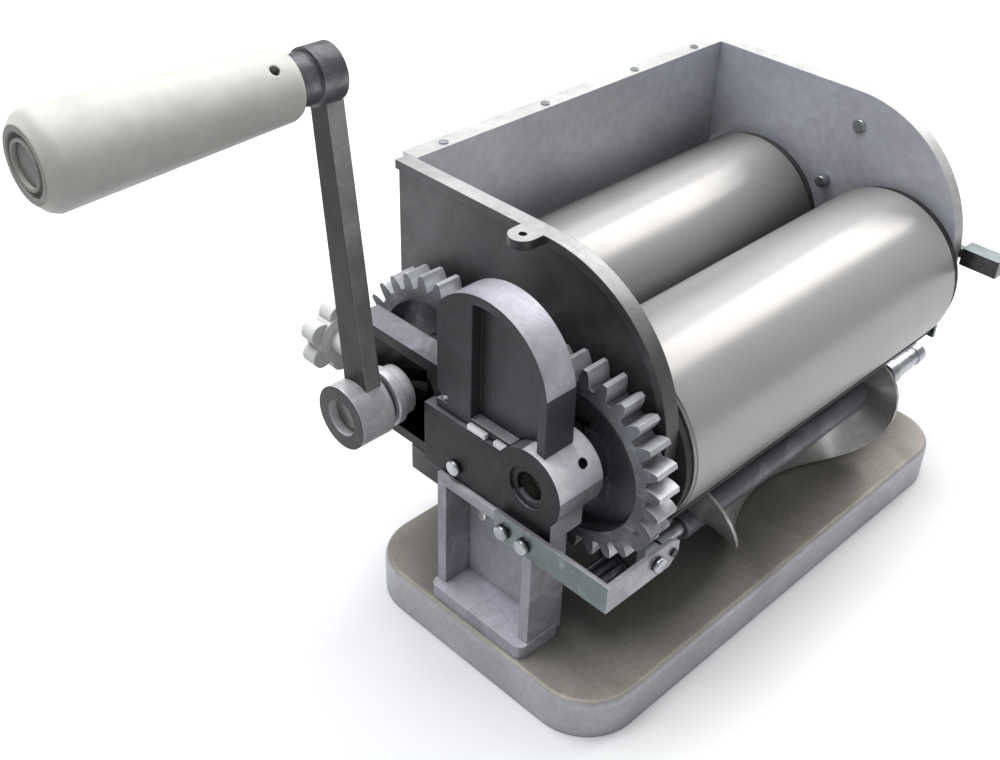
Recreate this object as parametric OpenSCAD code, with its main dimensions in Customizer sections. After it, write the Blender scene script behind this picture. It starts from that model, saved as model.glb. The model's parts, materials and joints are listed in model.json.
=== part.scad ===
// Hand crank tortilla press: two smooth rollers under an open hopper, a round cutter below them.
// X runs along the rollers away from the crank, -Y is the front, Z is up.
// The origin is the middle of the underside of the base plate.

/* [Base plate] */
// Length of the base plate along the rollers
base_l = 275; // [200:1:360]
// Width of the base plate
base_w = 140; // [100:1:200]
// Thickness of the base plate
base_h = 20; // [10:0.5:30]
// Radius of the four upright corners
base_corner_r = 26; // [8:1:50]
// Radius of the soft top edge
base_edge_r = 3; // [1:0.5:6]

/* [Rollers] */
// Radius of both pressing rollers
roller_r = 40; // [25:0.5:60]
// Left end of the rollers
roller_x0 = -76; // [-110:0.5:-50]
// Right end of the rollers
roller_x1 = 121; // [80:0.5:160]
// Distance of the front roller axis from the middle of the base
front_y = -21; // [-40:0.5:0]
// Distance of the rear roller axis from the middle of the base
rear_y = 60; // [40:0.5:80]
// Height of both roller axes
axis_z = 106; // [80:0.5:140]
// Radius of the roller shafts
shaft_r = 8; // [5:0.5:12]
// Chamfer at the roller ends
roller_bevel = 1; // [0.5:0.25:3]
// Depth of the turned recess in the roller ends
roller_dish = 3; // [1:0.5:8]
// Width of the outer wall left round that recess
roller_wall = 6; // [3:0.5:12]

/* [Gears] */
// Teeth on each of the two roller gears
gear_teeth = 27; // [20:1:40]
// Pitch diameter divided by the number of teeth
tooth_module = 3; // [2:0.25:5]
// Left face of the two gears
gear_x0 = -102.5; // [-106:0.5:-98]
// Face width of the gears
gear_w = 11.5; // [6:0.5:14]
// Width of the gear rim below the tooth roots
gear_rim_w = 5; // [3:0.5:10]
// Thickness of the web inside the rim
gear_web_t = 4; // [3:0.5:8]
// Radius of the gear hubs
gear_hub_r = 14; // [10:0.5:20]
// Play between the tooth flanks
tooth_play = 0.16; // [0.05:0.01:0.4]

/* [Hopper] */
// Outer face of the near cheek
near_x = -86; // [-100:0.5:-80]
// Outer face of the far cheek
far_x = 131; // [110:0.5:150]
// Thickness of the two cheeks
cheek_t = 5.5; // [3:0.5:10]
// Top of the hopper
top_z = 185; // [150:1:220]
// Radius of the curved front of the cheeks
arc_r = 65; // [50:0.5:80]
// Centre of that curve, from the middle of the base
arc_y = 11.5; // [-10:0.5:30]
// Rear face of the hopper
back_y = 99; // [85:0.5:115]
// Lower edge of the cheeks
cheek_low_z = 64; // [58:0.5:80]
// Thickness of the back wall
back_t = 5; // [3:0.5:10]
// Lower edge of the back wall
back_low_z = 130; // [126:0.5:150]
// Width of the thickened rim
rim_w = 7.5; // [6:0.5:12]
// Height of the thickened rim
rim_h = 4; // [2:0.5:8]
// Position of the ear along the near rim
ear_y = 20; // [0:0.5:50]
// Radius of the ear
ear_r = 6; // [4:0.5:10]
// Reach of the ear outside the rim
ear_reach = 5; // [2:0.5:10]
// Radius of the hole in the ear
ear_hole_r = 1.6; // [1:0.1:3]
// Radius of the bores for shafts in the cheeks
cheek_bore_r = 11; // [9:0.5:14]
// Room for the rear shaft to slide
slide_room = 3; // [1:0.5:6]

/* [Near pedestal] */
// Outer face of the pedestal ribs
ped_x0 = -130; // [-140:0.5:-120]
// Inner face of the pedestal
ped_x1 = -110; // [-118:0.5:-109.5]
// Half the width of the pedestal
ped_half_w = 27; // [18:0.5:40]
// Thickness of the side ribs
ped_rib_t = 5; // [3:0.5:10]
// Thickness of the web
ped_web_t = 6; // [3:0.5:12]
// Top of the pedestal
ped_top_z = 86; // [70:0.5:96]
// Reach of the foot pad outside the ribs
pad_reach = 4.5; // [1:0.5:7]
// Thickness of the foot pad
pad_h = 7; // [4:0.5:14]
// Corner radius of the foot pad
pad_r = 4; // [2:0.5:8]
// Corners of the window in the web, as offsets and heights
window_pts = [[3, 70], [3, 75], [-8, 83], [-19, 83], [-19, 70]];

/* [Bearing head] */
// Outer face of the bearing head
head_x0 = -128; // [-136:0.5:-120]
// Front edge of the head plate
head_y0 = -34; // [-45:0.5:-25]
// Rear edge of the thick head plate
head_y1 = 37; // [28:0.5:44]
// Top of the head plate
head_top_z = 115; // [108:0.5:120]
// Radius of the front bearing boss
boss_r = 17; // [13:0.5:20]
// Inner end of the front bearing boss
boss_x1 = -104; // [-108:0.5:-100]
// Outer face of the slot frame
frame_x0 = -122; // [-126:0.5:-116]
// Rear end of the slot frame
frame_y1 = 86; // [82:0.5:95]
// Top of the slot frame
frame_z1 = 130; // [124:0.5:140]
// Bottom of the slot frame
frame_z0 = 82; // [76:0.5:86]
// Thickness of the upper and lower slot bars
bar_t = 5; // [3:0.5:8]
// Front end of the slot
slot_y0 = 42; // [38:0.5:46]
// Rear end of the slot
slot_y1 = 78; // [74:0.5:84]
// Length of the two raised pads on the head
pad_bar_l = 10; // [6:0.5:14]
// Width of the raised pads
pad_bar_w = 7; // [3:0.5:9]
// Height of the raised pads
pad_bar_h = 2.5; // [1:0.5:5]
// Start of each raised pad along the head
pad_bar_ys = [2.5, -12];
// Thickness of the head face in front of the front shaft
head_skin = 3; // [2:0.25:5]
// Radius of the open hole in that face
end_hole_r = 6.5; // [4:0.25:7.5]
// Radius of the set screw hole in the boss
set_hole_r = 2.2; // [1.5:0.1:4]
// Place of the set screw along the boss
set_hole_x = -112; // [-120:0.5:-108]
// Lean of the set screw hole from upright
set_hole_lean = 50; // [0:5:80]

/* [Gear guard] */
// Outer face of the arched gear guard
dome_x0 = -126; // [-132:0.5:-122]
// Inner edge of the guard
dome_x1 = -110.5; // [-116:0.5:-110]
// Radius of the guard arch
dome_r = 32.5; // [25:0.5:40]
// Middle of the arch from the middle of the base
dome_y = 5.5; // [0:0.5:12]
// Height of the arch centre
dome_z = 143.5; // [135:0.5:155]
// Flat rear side of the guard
dome_flat_y = 25.5; // [20:0.5:32]
// Thickness of the guard rim
dome_wall = 4; // [2.5:0.5:8]
// Set back of the guard web
dome_set = 5; // [2:0.5:9]
// Thickness of the guard web
dome_web_t = 4; // [2:0.5:8]
// Width of the upright rib on the web
dome_rib_w = 9; // [4:0.5:14]
// Radius of the two spacer pillars
pillar_r = 6; // [4:0.5:9]
// Places of the pillars, offset and height
pillar_at = [[14, 64.5], [14, 144]];
// Radius of the guard bolts
guard_bolt_r = 1.8; // [1.2:0.1:1.9]
// Places of the two guard bolts across the head
guard_bolt_xs = [-122.5, -114.5];
// Offset of the guard bolts behind the middle
guard_bolt_y = 28.6; // [28:0.1:29.5]

/* [Bearings] */
// Wall of the bearing bushes
bush_wall = 3; // [2:0.25:5]
// Running clearance of the shafts
run_gap = 0.05; // [0.01:0.01:0.1]
// Left end of the bright crank bush
bush_x0 = -132; // [-134:0.5:-128]
// Width of its flange
flange_w = 4.5; // [2:0.5:6]
// Radius of its flange
flange_r = 13; // [12:0.25:15]
// Set back of the sliding block in its slot
block_set = 6; // [0:0.5:9]
// Length of the sliding block
block_l = 30; // [24:0.5:34]
// Side play of the sliding block
block_play = 0.2; // [0.1:0.05:0.5]
// Outer face of the far bearing plate
far_plate_x1 = 140; // [134:0.5:146]
// Thickness of the dark end seals
seal_t = 3.2; // [1:0.1:4]
// Set back of the seal edge from the roller surface
seal_set = 1.5; // [0.5:0.25:4]

/* [Crank] */
// Left end of the crank hub
hub_x0 = -152; // [-165:0.5:-148]
// Right end of the crank hub
hub_x1 = -135.5; // [-140:0.5:-135]
// Radius of the crank hub
hub_r = 14; // [12:0.5:18]
// Throw of the crank
crank_throw = 145; // [100:1:200]
// Left face of the crank bar at the hub
bar_x0 = -143.2; // [-148:0.1:-142]
// How far the bar leans outwards from hub to grip
bar_lean = 11.5; // [0:0.5:16]
// Thickness of the crank bar
crank_t = 7.5; // [5:0.5:8]
// Width of the crank bar at the hub
crank_w0 = 14; // [10:0.5:20]
// Width of the crank bar at the grip
crank_w1 = 9; // [7:0.5:14]
// Radius of the grip end boss
eye_r = 10.2; // [8.5:0.1:13]
// Left end of the grip end boss
eye_x0 = -158; // [-164:0.5:-152]
// Right end of the grip end boss
eye_x1 = -148; // [-152:0.5:-144]
// Length of the neck between boss and grip
neck_l = 7.5; // [1:0.5:12]
// Radius of that neck
neck_r = 9; // [7:0.5:10]
// Length of the grip
grip_l = 92; // [70:1:130]
// Radius of the grip next to the crank
grip_r0 = 12.3; // [9:0.1:16]
// Radius of the grip at its free end
grip_r1 = 16; // [11:0.1:20]
// Height of the chamfer at the free end
grip_bevel = 4; // [2:0.5:8]
// Height of the rounded shoulder next to the crank
grip_shoulder = 3; // [1:0.5:6]
// Radius of the grip spindle
spindle_r = 5; // [3:0.5:7]
// Spot face round the spindle's inner end as a share of the spindle's radius
spot_share = 1.4; // [1.2:0.1:1.8]
// Radius of the pin hole in the grip
pin_hole_r = 1.8; // [1:0.1:3]
// Place of the pin hole from the thin end
pin_hole_at = 10; // [6:0.5:20]

/* [Gap adjusters] */
// Middle of the near adjusting knob along the rollers
knob_x = -116; // [-120:0.5:-112]
// Front face of the knob
knob_y0 = 104.2; // [104:0.1:112]
// Length of the knob
knob_l = 10; // [8:0.5:20]
// Radius of the knob core
knob_core_r = 11.5; // [9:0.5:16]
// Radius of each knob lobe
knob_lobe_r = 5; // [3:0.5:7]
// Number of knob lobes
knob_lobes = 6; // [4:1:8]
// Radius of the adjusting screw
adj_r = 4; // [3:0.5:6]
// Height of the far adjusting bolt
far_bolt_z = 121.5; // [119:0.5:124]
// Place of the far adjusting bolt along the rollers
far_bolt_x = 135.5; // [134.8:0.1:136]
// Clearance between the head of that bolt and the front of the cheek
far_head_gap = 1.5; // [0.5:0.5:5]
// Radius of the far adjusting bolt
far_bolt_r = 3; // [2.5:0.25:4]
// Side of its square head
far_head_w = 9; // [7:0.5:11]
// Length of its square head
far_head_l = 19; // [8:0.5:19]

/* [Cutter] */
// Radius of the round piece that the cutter cuts
cut_r = 70.5; // [50:0.5:71]
// Middle of the cutter along the rollers
cut_x = 32; // [20:0.5:32]
// Distance of the cutter axis from the middle of the base
cut_y = -35; // [-42:0.5:-30]
// Turn of the band round its axis at rest
band_turn = 110; // [0:1:360]
// Gap left where the rolled band comes round to itself
loop_gap = 1.5; // [0.5:0.25:6]
// Thickness of the cutting band
cut_t = 1.6; // [0.8:0.1:3]
// Clearance between cutting edge and front roller
cut_gap = 0.2; // [0.1:0.05:0.5]
// Radius of the tube that carries the band
tube_r = 6.5; // [6:0.5:9]
// Radius of the cutter shaft
cut_shaft_r = 4.2; // [3:0.1:5]
// Right end of the cutter shaft
cut_shaft_x1 = 157; // [150:0.5:162]
// Radius of the nut at the shaft end
cut_nut_r = 5.5; // [4:0.25:8]
// Width of that nut
cut_nut_w = 6.5; // [4:0.5:7]
// Length of the fluted collar outside the near cheek
collar_l = 16; // [10:0.5:18]
// Radius of that collar
collar_r = 9; // [7:0.25:12]
// Number of its flutes
collar_flutes = 14; // [8:1:20]
// Depth of its flutes
flute_d = 1.6; // [0.8:0.1:2.4]
// Radius of the cutter bearing lugs
lug_r = 10; // [8:0.5:13]
// Facets round the cutting band
cut_steps = 72; // [36:4:120]

/* [Far pedestal] */
// Left face of the far leg
leg_x0 = 107; // [106:0.5:110]
// Thickness of the far leg
leg_t = 6; // [4:0.5:10]
// Thickness of the shelf under the far cheek
shelf_t = 6; // [4:0.5:10]
// Rear end of the shelf
shelf_y1 = 60; // [30:0.5:80]

/* [Strap and small parts] */
// Thickness of the plated strap
strap_t = 2; // [1:0.25:4]
// Lower edge of the strap
strap_z = 76; // [74:0.5:80]
// Height of the strap
strap_h = 13; // [8:0.5:18]
// Rear end of the strap
strap_y1 = -8; // [-14:0.5:0]
// Outer front face of the strap
strap_y0 = -67; // [-72:0.5:-66.5]
// Right end of the strap
strap_x1 = -90; // [-100:0.5:-88]
// Cut corner at the end of the strap
strap_cut = 5; // [2:0.5:8]
// Radius of the small pan heads
pan_r = 3.4; // [2.5:0.1:5]
// Height of the small pan heads
pan_h = 2.4; // [1.5:0.1:4]
// Radius of the small screws
small_r = 1.8; // [1.2:0.1:3]
// Places of the two strap screws, offset and height
strap_screw_at = [[-13, 81], [-24, 81]];
// Place of the screw in the strap arm
arm_screw_x = -103; // [-110:0.5:-98]
// Place of the hole in the strap arm
arm_hole_x = -93.5; // [-95:0.5:-92]
// Radius of the stripping wire
wire_r = 0.6; // [0.3:0.1:1.2]
// Distance of the stripping wire from the front roller
wire_gap = 1.2; // [1:0.1:3]
// Place of the wire round the front roller
wire_angle = 225; // [210:1:235]
// Thickness of the tab that holds its far end
post_t = 2; // [1:0.25:4]
// Height of that tab
post_h = 7; // [4:0.5:10]
// Rear end of that tab
post_y1 = -30; // [-34:0.5:-20]
// Thickness of the flat side tab
tab_t = 2; // [1:0.25:4]
// Reach of the side tab behind the pedestal
tab_y1 = 52; // [40:0.5:60]
// Lower edge of the side tab
tab_z = 69; // [60:0.5:72]
// Height of the side tab
tab_h = 12.5; // [8:0.5:16]
// Left face of the side tab
tab_x = -122; // [-126:0.5:-118]
// Radius of the rim screws
rim_screw_r = 2; // [1.2:0.1:3]
// Places of the screws down into the back wall
rim_screw_xs = [-62, 0, 62, 108];
// Radius of the small stud at the nip
stud_r = 3; // [2:0.25:5]
// Place of the nip stud, offset and height
stud_at = [21, 135];
// Place of the bright wall screw, offset and height
wall_screw_at = [8, 168];
// Thickness of the rear scraper blade
blade_t = 1.5; // [0.8:0.1:3]
// Length of the rear scraper blade
blade_l = 6.6; // [4:0.1:10]
// Lean of the rear scraper blade
blade_lean = 38; // [30:1:50]
// Set back of the blade on the scraper bar
blade_back = 6; // [3:0.5:7]
// Thickness of the scraper bar
scraper_bar_t = 7; // [4:0.5:12]
// Offset and height of the scraper bar
scraper_at = [86, 65];
// Radius of the screws under the base
foot_screw_r = 3; // [2:0.5:5]
// Radius of their heads
foot_head_r = 6; // [4:0.5:9]
// Depth of their heads
foot_head_h = 4; // [2:0.5:8]

/* [Output] */
// Which piece to draw

/* [Hidden] */
$fn = 72;
over = base_h / 10;
pitch_r = gear_teeth * tooth_module / 2;
pressure = 20;
edge_r = (2 * cut_r + cut_t + loop_gap) / (2 * PI);
cut_dist = roller_r + edge_r + cut_gap;
cut_z = axis_z - sqrt(cut_dist * cut_dist - (cut_y - front_y) * (cut_y - front_y));
flank_steps = 4;
thin = run_gap * 6;
near_in = near_x + cheek_t;
far_in = far_x - cheek_t;
arc_z = top_z - arc_r;
cheek_front = arc_y - arc_r;
far_bolt_y0 = cheek_front - far_head_gap - far_head_l;
wire_at = [front_y + (roller_r + wire_gap) * cos(wire_angle),
  axis_z + (roller_r + wire_gap) * sin(wire_angle)];
collar_x1 = near_x - thin;
collar_x0 = collar_x1 - collar_l;
bush_r = shaft_r + bush_wall;
rear_axis = [rear_y, axis_z];
front_axis = [front_y, axis_z];
cut_axis = [cut_y, cut_z];
gear_x1 = gear_x0 + gear_w;
wire_bend_x = (gear_x1 + near_x) / 2;
web_x = ped_x1 - ped_web_t;
foot_x0 = ped_x0 - pad_reach;
foot_z = base_h + pad_h;
shelf_z = cheek_low_z;
small_dish_share = 0.45;
slot_z0 = frame_z0 + bar_t;
slot_z1 = frame_z1 - bar_t;
grip_x0 = eye_x0 - neck_l;

// Straight bar along X
module rod_x(x0, x1, r) {
  translate([x0, 0, 0]) rotate([0, 90, 0]) cylinder(h = x1 - x0, r = r);
}

// Flat outline in the YZ plane pushed along X
module slab_x(x0, x1) {
  translate([x0, 0, 0]) rotate([90, 0, 90]) linear_extrude(x1 - x0) children();
}

// Move to an offset and height
module at_yz(p) {
  translate([0, p[0], p[1]]) children();
}

// Box between two corners
module box(a, b) {
  translate(a) cube(b - a);
}

// Plate with round upright corners
module round_plate(l, w, h, r) {
  translate([-l / 2 + r, -w / 2, 0]) cube([l - 2 * r, w, h]);
  translate([-l / 2, -w / 2 + r, 0]) cube([l, w - 2 * r, h]);
  for (sx = [-1, 1])
    for (sy = [-1, 1])
      translate([sx * (l / 2 - r), sy * (w / 2 - r), 0]) cylinder(h = h, r = r);
}

// Plate with round corners and a soft top edge
module soft_plate(l, w, h, r, e) {
  round_plate(l, w, h - e, r);
  round_plate(l - 2 * e, w - 2 * e, h, r - e);
  for (sy = [-1, 1])
    translate([-l / 2 + r, sy * (w / 2 - e), h - e]) rod_x(0, l - 2 * r, e);
  for (sx = [-1, 1])
    translate([sx * (l / 2 - e), w / 2 - r, h - e]) rotate([90, 0, 0]) cylinder(h = w - 2 * r, r = e);
  for (sx = [-1, 1])
    for (sy = [-1, 1])
      translate([sx * (l / 2 - r), sy * (w / 2 - r), h - e])
        rotate_extrude() translate([r - e, 0]) circle(r = e);
}

// Involute helpers, angles in degrees
function inv(a) = tan(a) * 180 / PI - a;
function half_tooth(n, m, r) =
  let (rp = n * m / 2, rb = rp * cos(pressure))
  90 / n - tooth_play / rp * 45 / PI + inv(pressure) - inv(acos(min(1, rb / max(r, rb))));
function low_r(n, m) = max(n * m / 2 * cos(pressure), n * m / 2 - 1.25 * m);
function flank_r(n, m, k) = low_r(n, m) + (n * m / 2 + m - low_r(n, m)) * k / flank_steps;
function polar(r, a) = [r * cos(a), r * sin(a)];
function tooth_points(n, m, mid) = concat(
  [polar(n * m / 2 - 1.25 * m, mid - half_tooth(n, m, low_r(n, m)) * 1.12)],
  [for (k = [0:flank_steps]) polar(flank_r(n, m, k), mid - half_tooth(n, m, flank_r(n, m, k)))],
  [for (k = [flank_steps:-1:0]) polar(flank_r(n, m, k), mid + half_tooth(n, m, flank_r(n, m, k)))],
  [polar(n * m / 2 - 1.25 * m, mid + half_tooth(n, m, low_r(n, m)) * 1.12)]);

// Outline of a spur gear with one tooth centred on a start angle
module gear_outline(n, m, start) {
  polygon([for (i = [0:n - 1]) for (p = tooth_points(n, m, start + i * 360 / n)) p]);
}

// Dished gear blank with its hub to the left
module dished_gear(n, start, hub) {
  rim_in = n * tooth_module / 2 - 1.25 * tooth_module - gear_rim_w;
  difference() {
    slab_x(gear_x0, gear_x1) gear_outline(n, tooth_module, start);
    difference() {
      rod_x(gear_x0 - over, gear_x1 - gear_web_t, rim_in);
      rod_x(gear_x0 - over, gear_x1, hub);
    }
    rod_x(gear_x0 - over, gear_x0 + gear_w * small_dish_share, rim_in);
    rod_x(gear_x0 - over, gear_x1 + over, shaft_r);
  }
}

module base_plate() {
  color("lightgray") difference() {
    soft_plate(base_l, base_w, base_h, base_corner_r, base_edge_r);
    foot_places() translate([0, 0, -over]) cylinder(h = base_h + 2 * over, r = foot_screw_r);
    foot_places() translate([0, 0, -over]) cylinder(h = foot_head_h + over, r = foot_head_r);
  }
}

module foot_places() {
  for (y = [-ped_half_w * 2 / 3, ped_half_w * 2 / 3]) {
    translate([(foot_x0 + ped_x1) / 2, y, 0]) children();
    translate([leg_x0 + leg_t * 2, y, 0]) children();
  }
}

module foot_screws() {
  color("silver") foot_places() {
    translate([0, 0, foot_head_h / 4]) cylinder(h = foot_head_h * 3 / 4, r = foot_head_r - thin);
    cylinder(h = foot_z - pad_h / 4, r = foot_screw_r - run_gap);
  }
}

module near_pedestal() {
  color("gray") difference() {
    union() {
      translate([(foot_x0 + ped_x1) / 2, 0, base_h])
        round_plate(ped_x1 - foot_x0, 2 * ped_half_w + over / 2, pad_h, pad_r);
      box([web_x, -ped_half_w, base_h + pad_h / 2], [ped_x1, ped_half_w, ped_top_z]);
      for (s = [-1, 1])
        box([ped_x0, s * (ped_half_w - ped_rib_t / 2) - ped_rib_t / 2, base_h + pad_h / 2],
          [ped_x1, s * (ped_half_w - ped_rib_t / 2) + ped_rib_t / 2, ped_top_z]);
      box([ped_x0, -ped_half_w, ped_top_z - bar_t], [ped_x1, ped_half_w, ped_top_z]);
    }
    slab_x(web_x - over, ped_x1 + over) polygon([for (p = window_pts) [p[0], min(p[1], ped_top_z - bar_t)]]);
    foot_places() cylinder(h = foot_z - pad_h / 5, r = foot_screw_r);
    for (p = strap_screw_at) at_yz(p) rod_x(ped_x0 - over, ped_x0 + ped_rib_t, small_r);
    at_yz(pillar_at[0]) rod_x(web_x - over, ped_x1 + over, small_r);
    translate([tab_x + ped_rib_t, ped_half_w, tab_z + tab_h / 2]) rotate([90, 0, 0])
      cylinder(h = ped_rib_t * 2, r = small_r, center = true);
  }
}

module far_pedestal() {
  color("gray") difference() {
    union() {
      translate([leg_x0 + leg_t * 2, 0, base_h])
        round_plate(leg_t * 4.5, 2 * ped_half_w + over / 2, pad_h, pad_r);
      slab_x(leg_x0, leg_x0 + leg_t) {
        translate([-ped_half_w, base_h + pad_h / 2]) square([2 * ped_half_w, shelf_z - base_h - pad_h / 2]);
        translate([cut_y, cut_z - lug_r]) square([-ped_half_w - cut_y + over, 2 * lug_r]);
        translate(cut_axis) circle(r = lug_r);
      }
      box([leg_x0, -ped_half_w, shelf_z - shelf_t], [far_x, shelf_y1, shelf_z]);
      for (s = [-1, 1])
        slab_x(leg_x0 + leg_t / 2, leg_x0 + leg_t * 3)
          translate([s * (ped_half_w - ped_rib_t / 2) - ped_rib_t / 2, foot_z - pad_h / 2])
            square([ped_rib_t, shelf_z - foot_z]);
    }
    at_yz(cut_axis) rod_x(leg_x0 - over, leg_x0 + leg_t * 4, cut_shaft_r + bush_wall / 2);
    foot_places() cylinder(h = foot_z - pad_h / 5, r = foot_screw_r);
  }
}

module head_outline() {
  translate([head_y0, ped_top_z]) square([head_y1 - head_y0, head_top_z - ped_top_z]);
  translate(front_axis) circle(r = boss_r);
}

module bearing_head() {
  color("gray") difference() {
    union() {
      slab_x(head_x0, ped_x1) head_outline();
      at_yz(front_axis) rod_x(ped_x1 - over, boss_x1, boss_r);
      box([frame_x0, head_y1 - bar_t, frame_z0], [ped_x1, frame_y1, frame_z1]);
      translate([knob_x, frame_y1 - over, axis_z]) rotate([-90, 0, 0])
        cylinder(h = over * 2, r = adj_r * 1.5);
    }
    box([frame_x0 - over, slot_y0, slot_z0], [ped_x1 + over, slot_y1, slot_z1]);
    box([head_x0 - over, -ped_half_w - over, frame_z0 - over], [ped_x1 + over, ped_half_w + over, ped_top_z]);
    at_yz(front_axis) rod_x(head_x0 + head_skin, boss_x1 + over, bush_r);
    at_yz(front_axis) rod_x(head_x0 - over, head_x0 + 2 * head_skin, end_hole_r);
    at_yz(front_axis) rod_x(head_x0 - over, head_x0 + head_skin / 3, end_hole_r * 1.45);
    translate([knob_x, slot_y1 - over, axis_z]) rotate([-90, 0, 0])
      cylinder(h = frame_y1 - slot_y1 + 4 * over, r = adj_r + run_gap);
    at_yz(front_axis) translate([set_hole_x, 0, 0]) rotate([set_hole_lean, 0, 0])
      cylinder(h = boss_r + over, r = set_hole_r);
    for (x = guard_bolt_xs) translate([x, guard_bolt_y, head_top_z - bar_t])
      cylinder(h = bar_t + over, r = guard_bolt_r);
    for (y = head_screw_ys()) at_yz([y, head_screw_z()]) rod_x(head_x0 - over, head_x0 + ped_rib_t, small_r);
  }
}

function head_screw_ys() = [head_y1 / 2];
function head_screw_z() = ped_top_z + bar_t * 1.3;

module raised_pads() {
  color("silver") difference() {
    for (y = pad_bar_ys)
      box([head_x0, y, head_top_z], [head_x0 + pad_bar_w, y + pad_bar_l, head_top_z + pad_bar_h]);
    at_yz(front_axis) rod_x(head_x0 - over, boss_x1, boss_r + thin);
  }
}

module pan_x(p, x) {
  at_yz(p) {
    rod_x(x - pan_h, x, pan_r);
    rod_x(x - pan_h / 2, x + ped_rib_t - over / 4, small_r - run_gap);
  }
}

module head_screws() {
  color("silver") for (y = head_screw_ys()) pan_x([y, head_screw_z()], head_x0);
}

module dome_shape(inset) {
  intersection() {
    translate([dome_y, dome_z]) circle(r = dome_r - inset);
    translate([dome_y - 2 * dome_r, dome_z - over])
      square([2 * dome_r + dome_flat_y - inset - dome_y, 2 * dome_r]);
  }
  translate([dome_y - dome_r + inset, head_top_z + inset])
    square([dome_flat_y - dome_y + dome_r - 2 * inset, dome_z - head_top_z - inset]);
}

module gear_guard() {
  color("silver") difference() {
    union() {
      difference() {
        slab_x(dome_x0, dome_x1) dome_shape(0);
        slab_x(dome_x0 - over, dome_x0 + dome_set) dome_shape(dome_wall);
        slab_x(dome_x0 + dome_set + dome_web_t, dome_x1 + over) dome_shape(dome_wall);
      }
      box([dome_x0 + dome_set / 3, dome_flat_y - dome_wall - dome_rib_w, head_top_z],
        [dome_x0 + dome_set + dome_web_t / 2, dome_flat_y - dome_wall, dome_z + dome_r / 2]);
      box([dome_x0, dome_flat_y - dome_rib_w, head_top_z],
        [dome_x1, head_y1 - bar_t - thin, head_top_z + dome_wall]);
    }
    at_yz(front_axis) rod_x(head_x0 - over, boss_x1 + over, boss_r + thin);
    for (y = pad_bar_ys)
      box([head_x0 - over, y - thin, head_top_z - over],
        [head_x0 + pad_bar_w + thin, y + pad_bar_l + thin, head_top_z + pad_bar_h + thin]);
    at_yz(pillar_at[1]) rod_x(dome_x0 + dome_set + dome_web_t / 2, dome_x1 + over, small_r);
    for (x = guard_bolt_xs) translate([x, guard_bolt_y, head_top_z - over])
      cylinder(h = dome_wall + 2 * over, r = guard_bolt_r);
  }
}

module guard_bolts() {
  color("silver") for (x = guard_bolt_xs) translate([x, guard_bolt_y, head_top_z]) {
    translate([0, 0, over / 4 - bar_t]) cylinder(h = bar_t + dome_wall, r = guard_bolt_r - run_gap);
    translate([0, 0, dome_wall]) cylinder(h = guard_bolt_r * 1.4, r = guard_bolt_r * 1.7, $fn = 6);
  }
}

module spacer_pillars() {
  color("gray") {
    at_yz(pillar_at[0]) rod_x(ped_x1, near_x, pillar_r);
    at_yz(pillar_at[1]) rod_x(dome_x0 + dome_set + dome_web_t, near_x, pillar_r);
    at_yz(pillar_at[0]) rod_x(web_x - pan_h, ped_x1, small_r - run_gap);
    at_yz(pillar_at[0]) rod_x(web_x - pan_h, web_x, pan_r);
    at_yz(pillar_at[1]) rod_x(dome_x0 + dome_set + dome_web_t / 2, dome_x1, small_r - run_gap);
  }
}

module cheek_outline(inset) {
  intersection() {
    translate([arc_y, arc_z]) circle(r = arc_r - inset);
    translate([cheek_front, cheek_low_z]) square([2 * arc_r, top_z - cheek_low_z]);
  }
  translate([arc_y, cheek_low_z + inset]) square([back_y - arc_y - inset, top_z - cheek_low_z - 2 * inset]);
}

module rear_slot_cut(x0, x1) {
  for (d = [-slide_room, slide_room]) at_yz(rear_axis + [d, 0]) rod_x(x0, x1, cheek_bore_r);
  box([x0, rear_y - slide_room, axis_z - cheek_bore_r], [x1, rear_y + slide_room, axis_z + cheek_bore_r]);
}

module cheek(x0, x1, r0, r1) {
  slab_x(x0, x1) cheek_outline(0);
  difference() {
    slab_x(r0, r1) cheek_outline(0);
    slab_x(r0 - over, r1 + over) {
      cheek_outline(rim_h);
      translate([arc_y, cheek_low_z - over])
        square([back_y - arc_y + over, top_z - cheek_low_z - rim_h + over]);
    }
    box([r0 - over, cheek_front - over, cheek_low_z - over], [r1 + over, back_y + over, arc_z - arc_r / 2]);
  }
}

module near_cheek() {
  color("silver") difference() {
    union() {
      cheek(near_x, near_in, near_in - rim_w, near_in);
      slab_x(near_x, near_in) {
        translate(cut_axis) circle(r = lug_r);
        translate([cut_y - lug_r, cut_z]) square([2 * lug_r, arc_z - cut_z]);
      }
      translate([near_in - rim_w - ear_reach, ear_y, top_z - rim_h]) cylinder(h = rim_h, r = ear_r);
      box([near_in - rim_w - ear_reach, ear_y - ear_r, top_z - rim_h], [near_in, ear_y + ear_r, top_z]);
    }
    at_yz(front_axis) rod_x(near_x - over, near_in + over, cheek_bore_r + bush_wall);
    rear_slot_cut(near_x - over, near_in + over);
    at_yz(cut_axis) rod_x(near_x - over, near_in + over, cut_shaft_r + bush_wall / 2);
    at_yz(wire_at) rod_x(near_x - over, near_in + over, 2 * wire_r);
    translate([near_in - rim_w - ear_reach, ear_y, top_z - rim_h - over])
      cylinder(h = rim_h + 2 * over, r = ear_hole_r);
  }
}

module far_cheek() {
  color("silver") difference() {
    cheek(far_in, far_x, far_in, far_in + rim_w);
    at_yz(front_axis) rod_x(far_in - over, far_x + over, cheek_bore_r + bush_wall);
    rear_slot_cut(far_in - over, far_x + over);
    translate([far_bolt_x, far_bolt_y0, far_bolt_z]) rotate([-90, 0, 0])
      cylinder(h = arc_r, r = far_bolt_r + thin);
    at_yz(stud_at) rod_x(far_in - over, far_x + over, small_r);
    at_yz(wall_screw_at) rod_x(far_in - over, far_x + over, small_r);
  }
}

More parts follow.
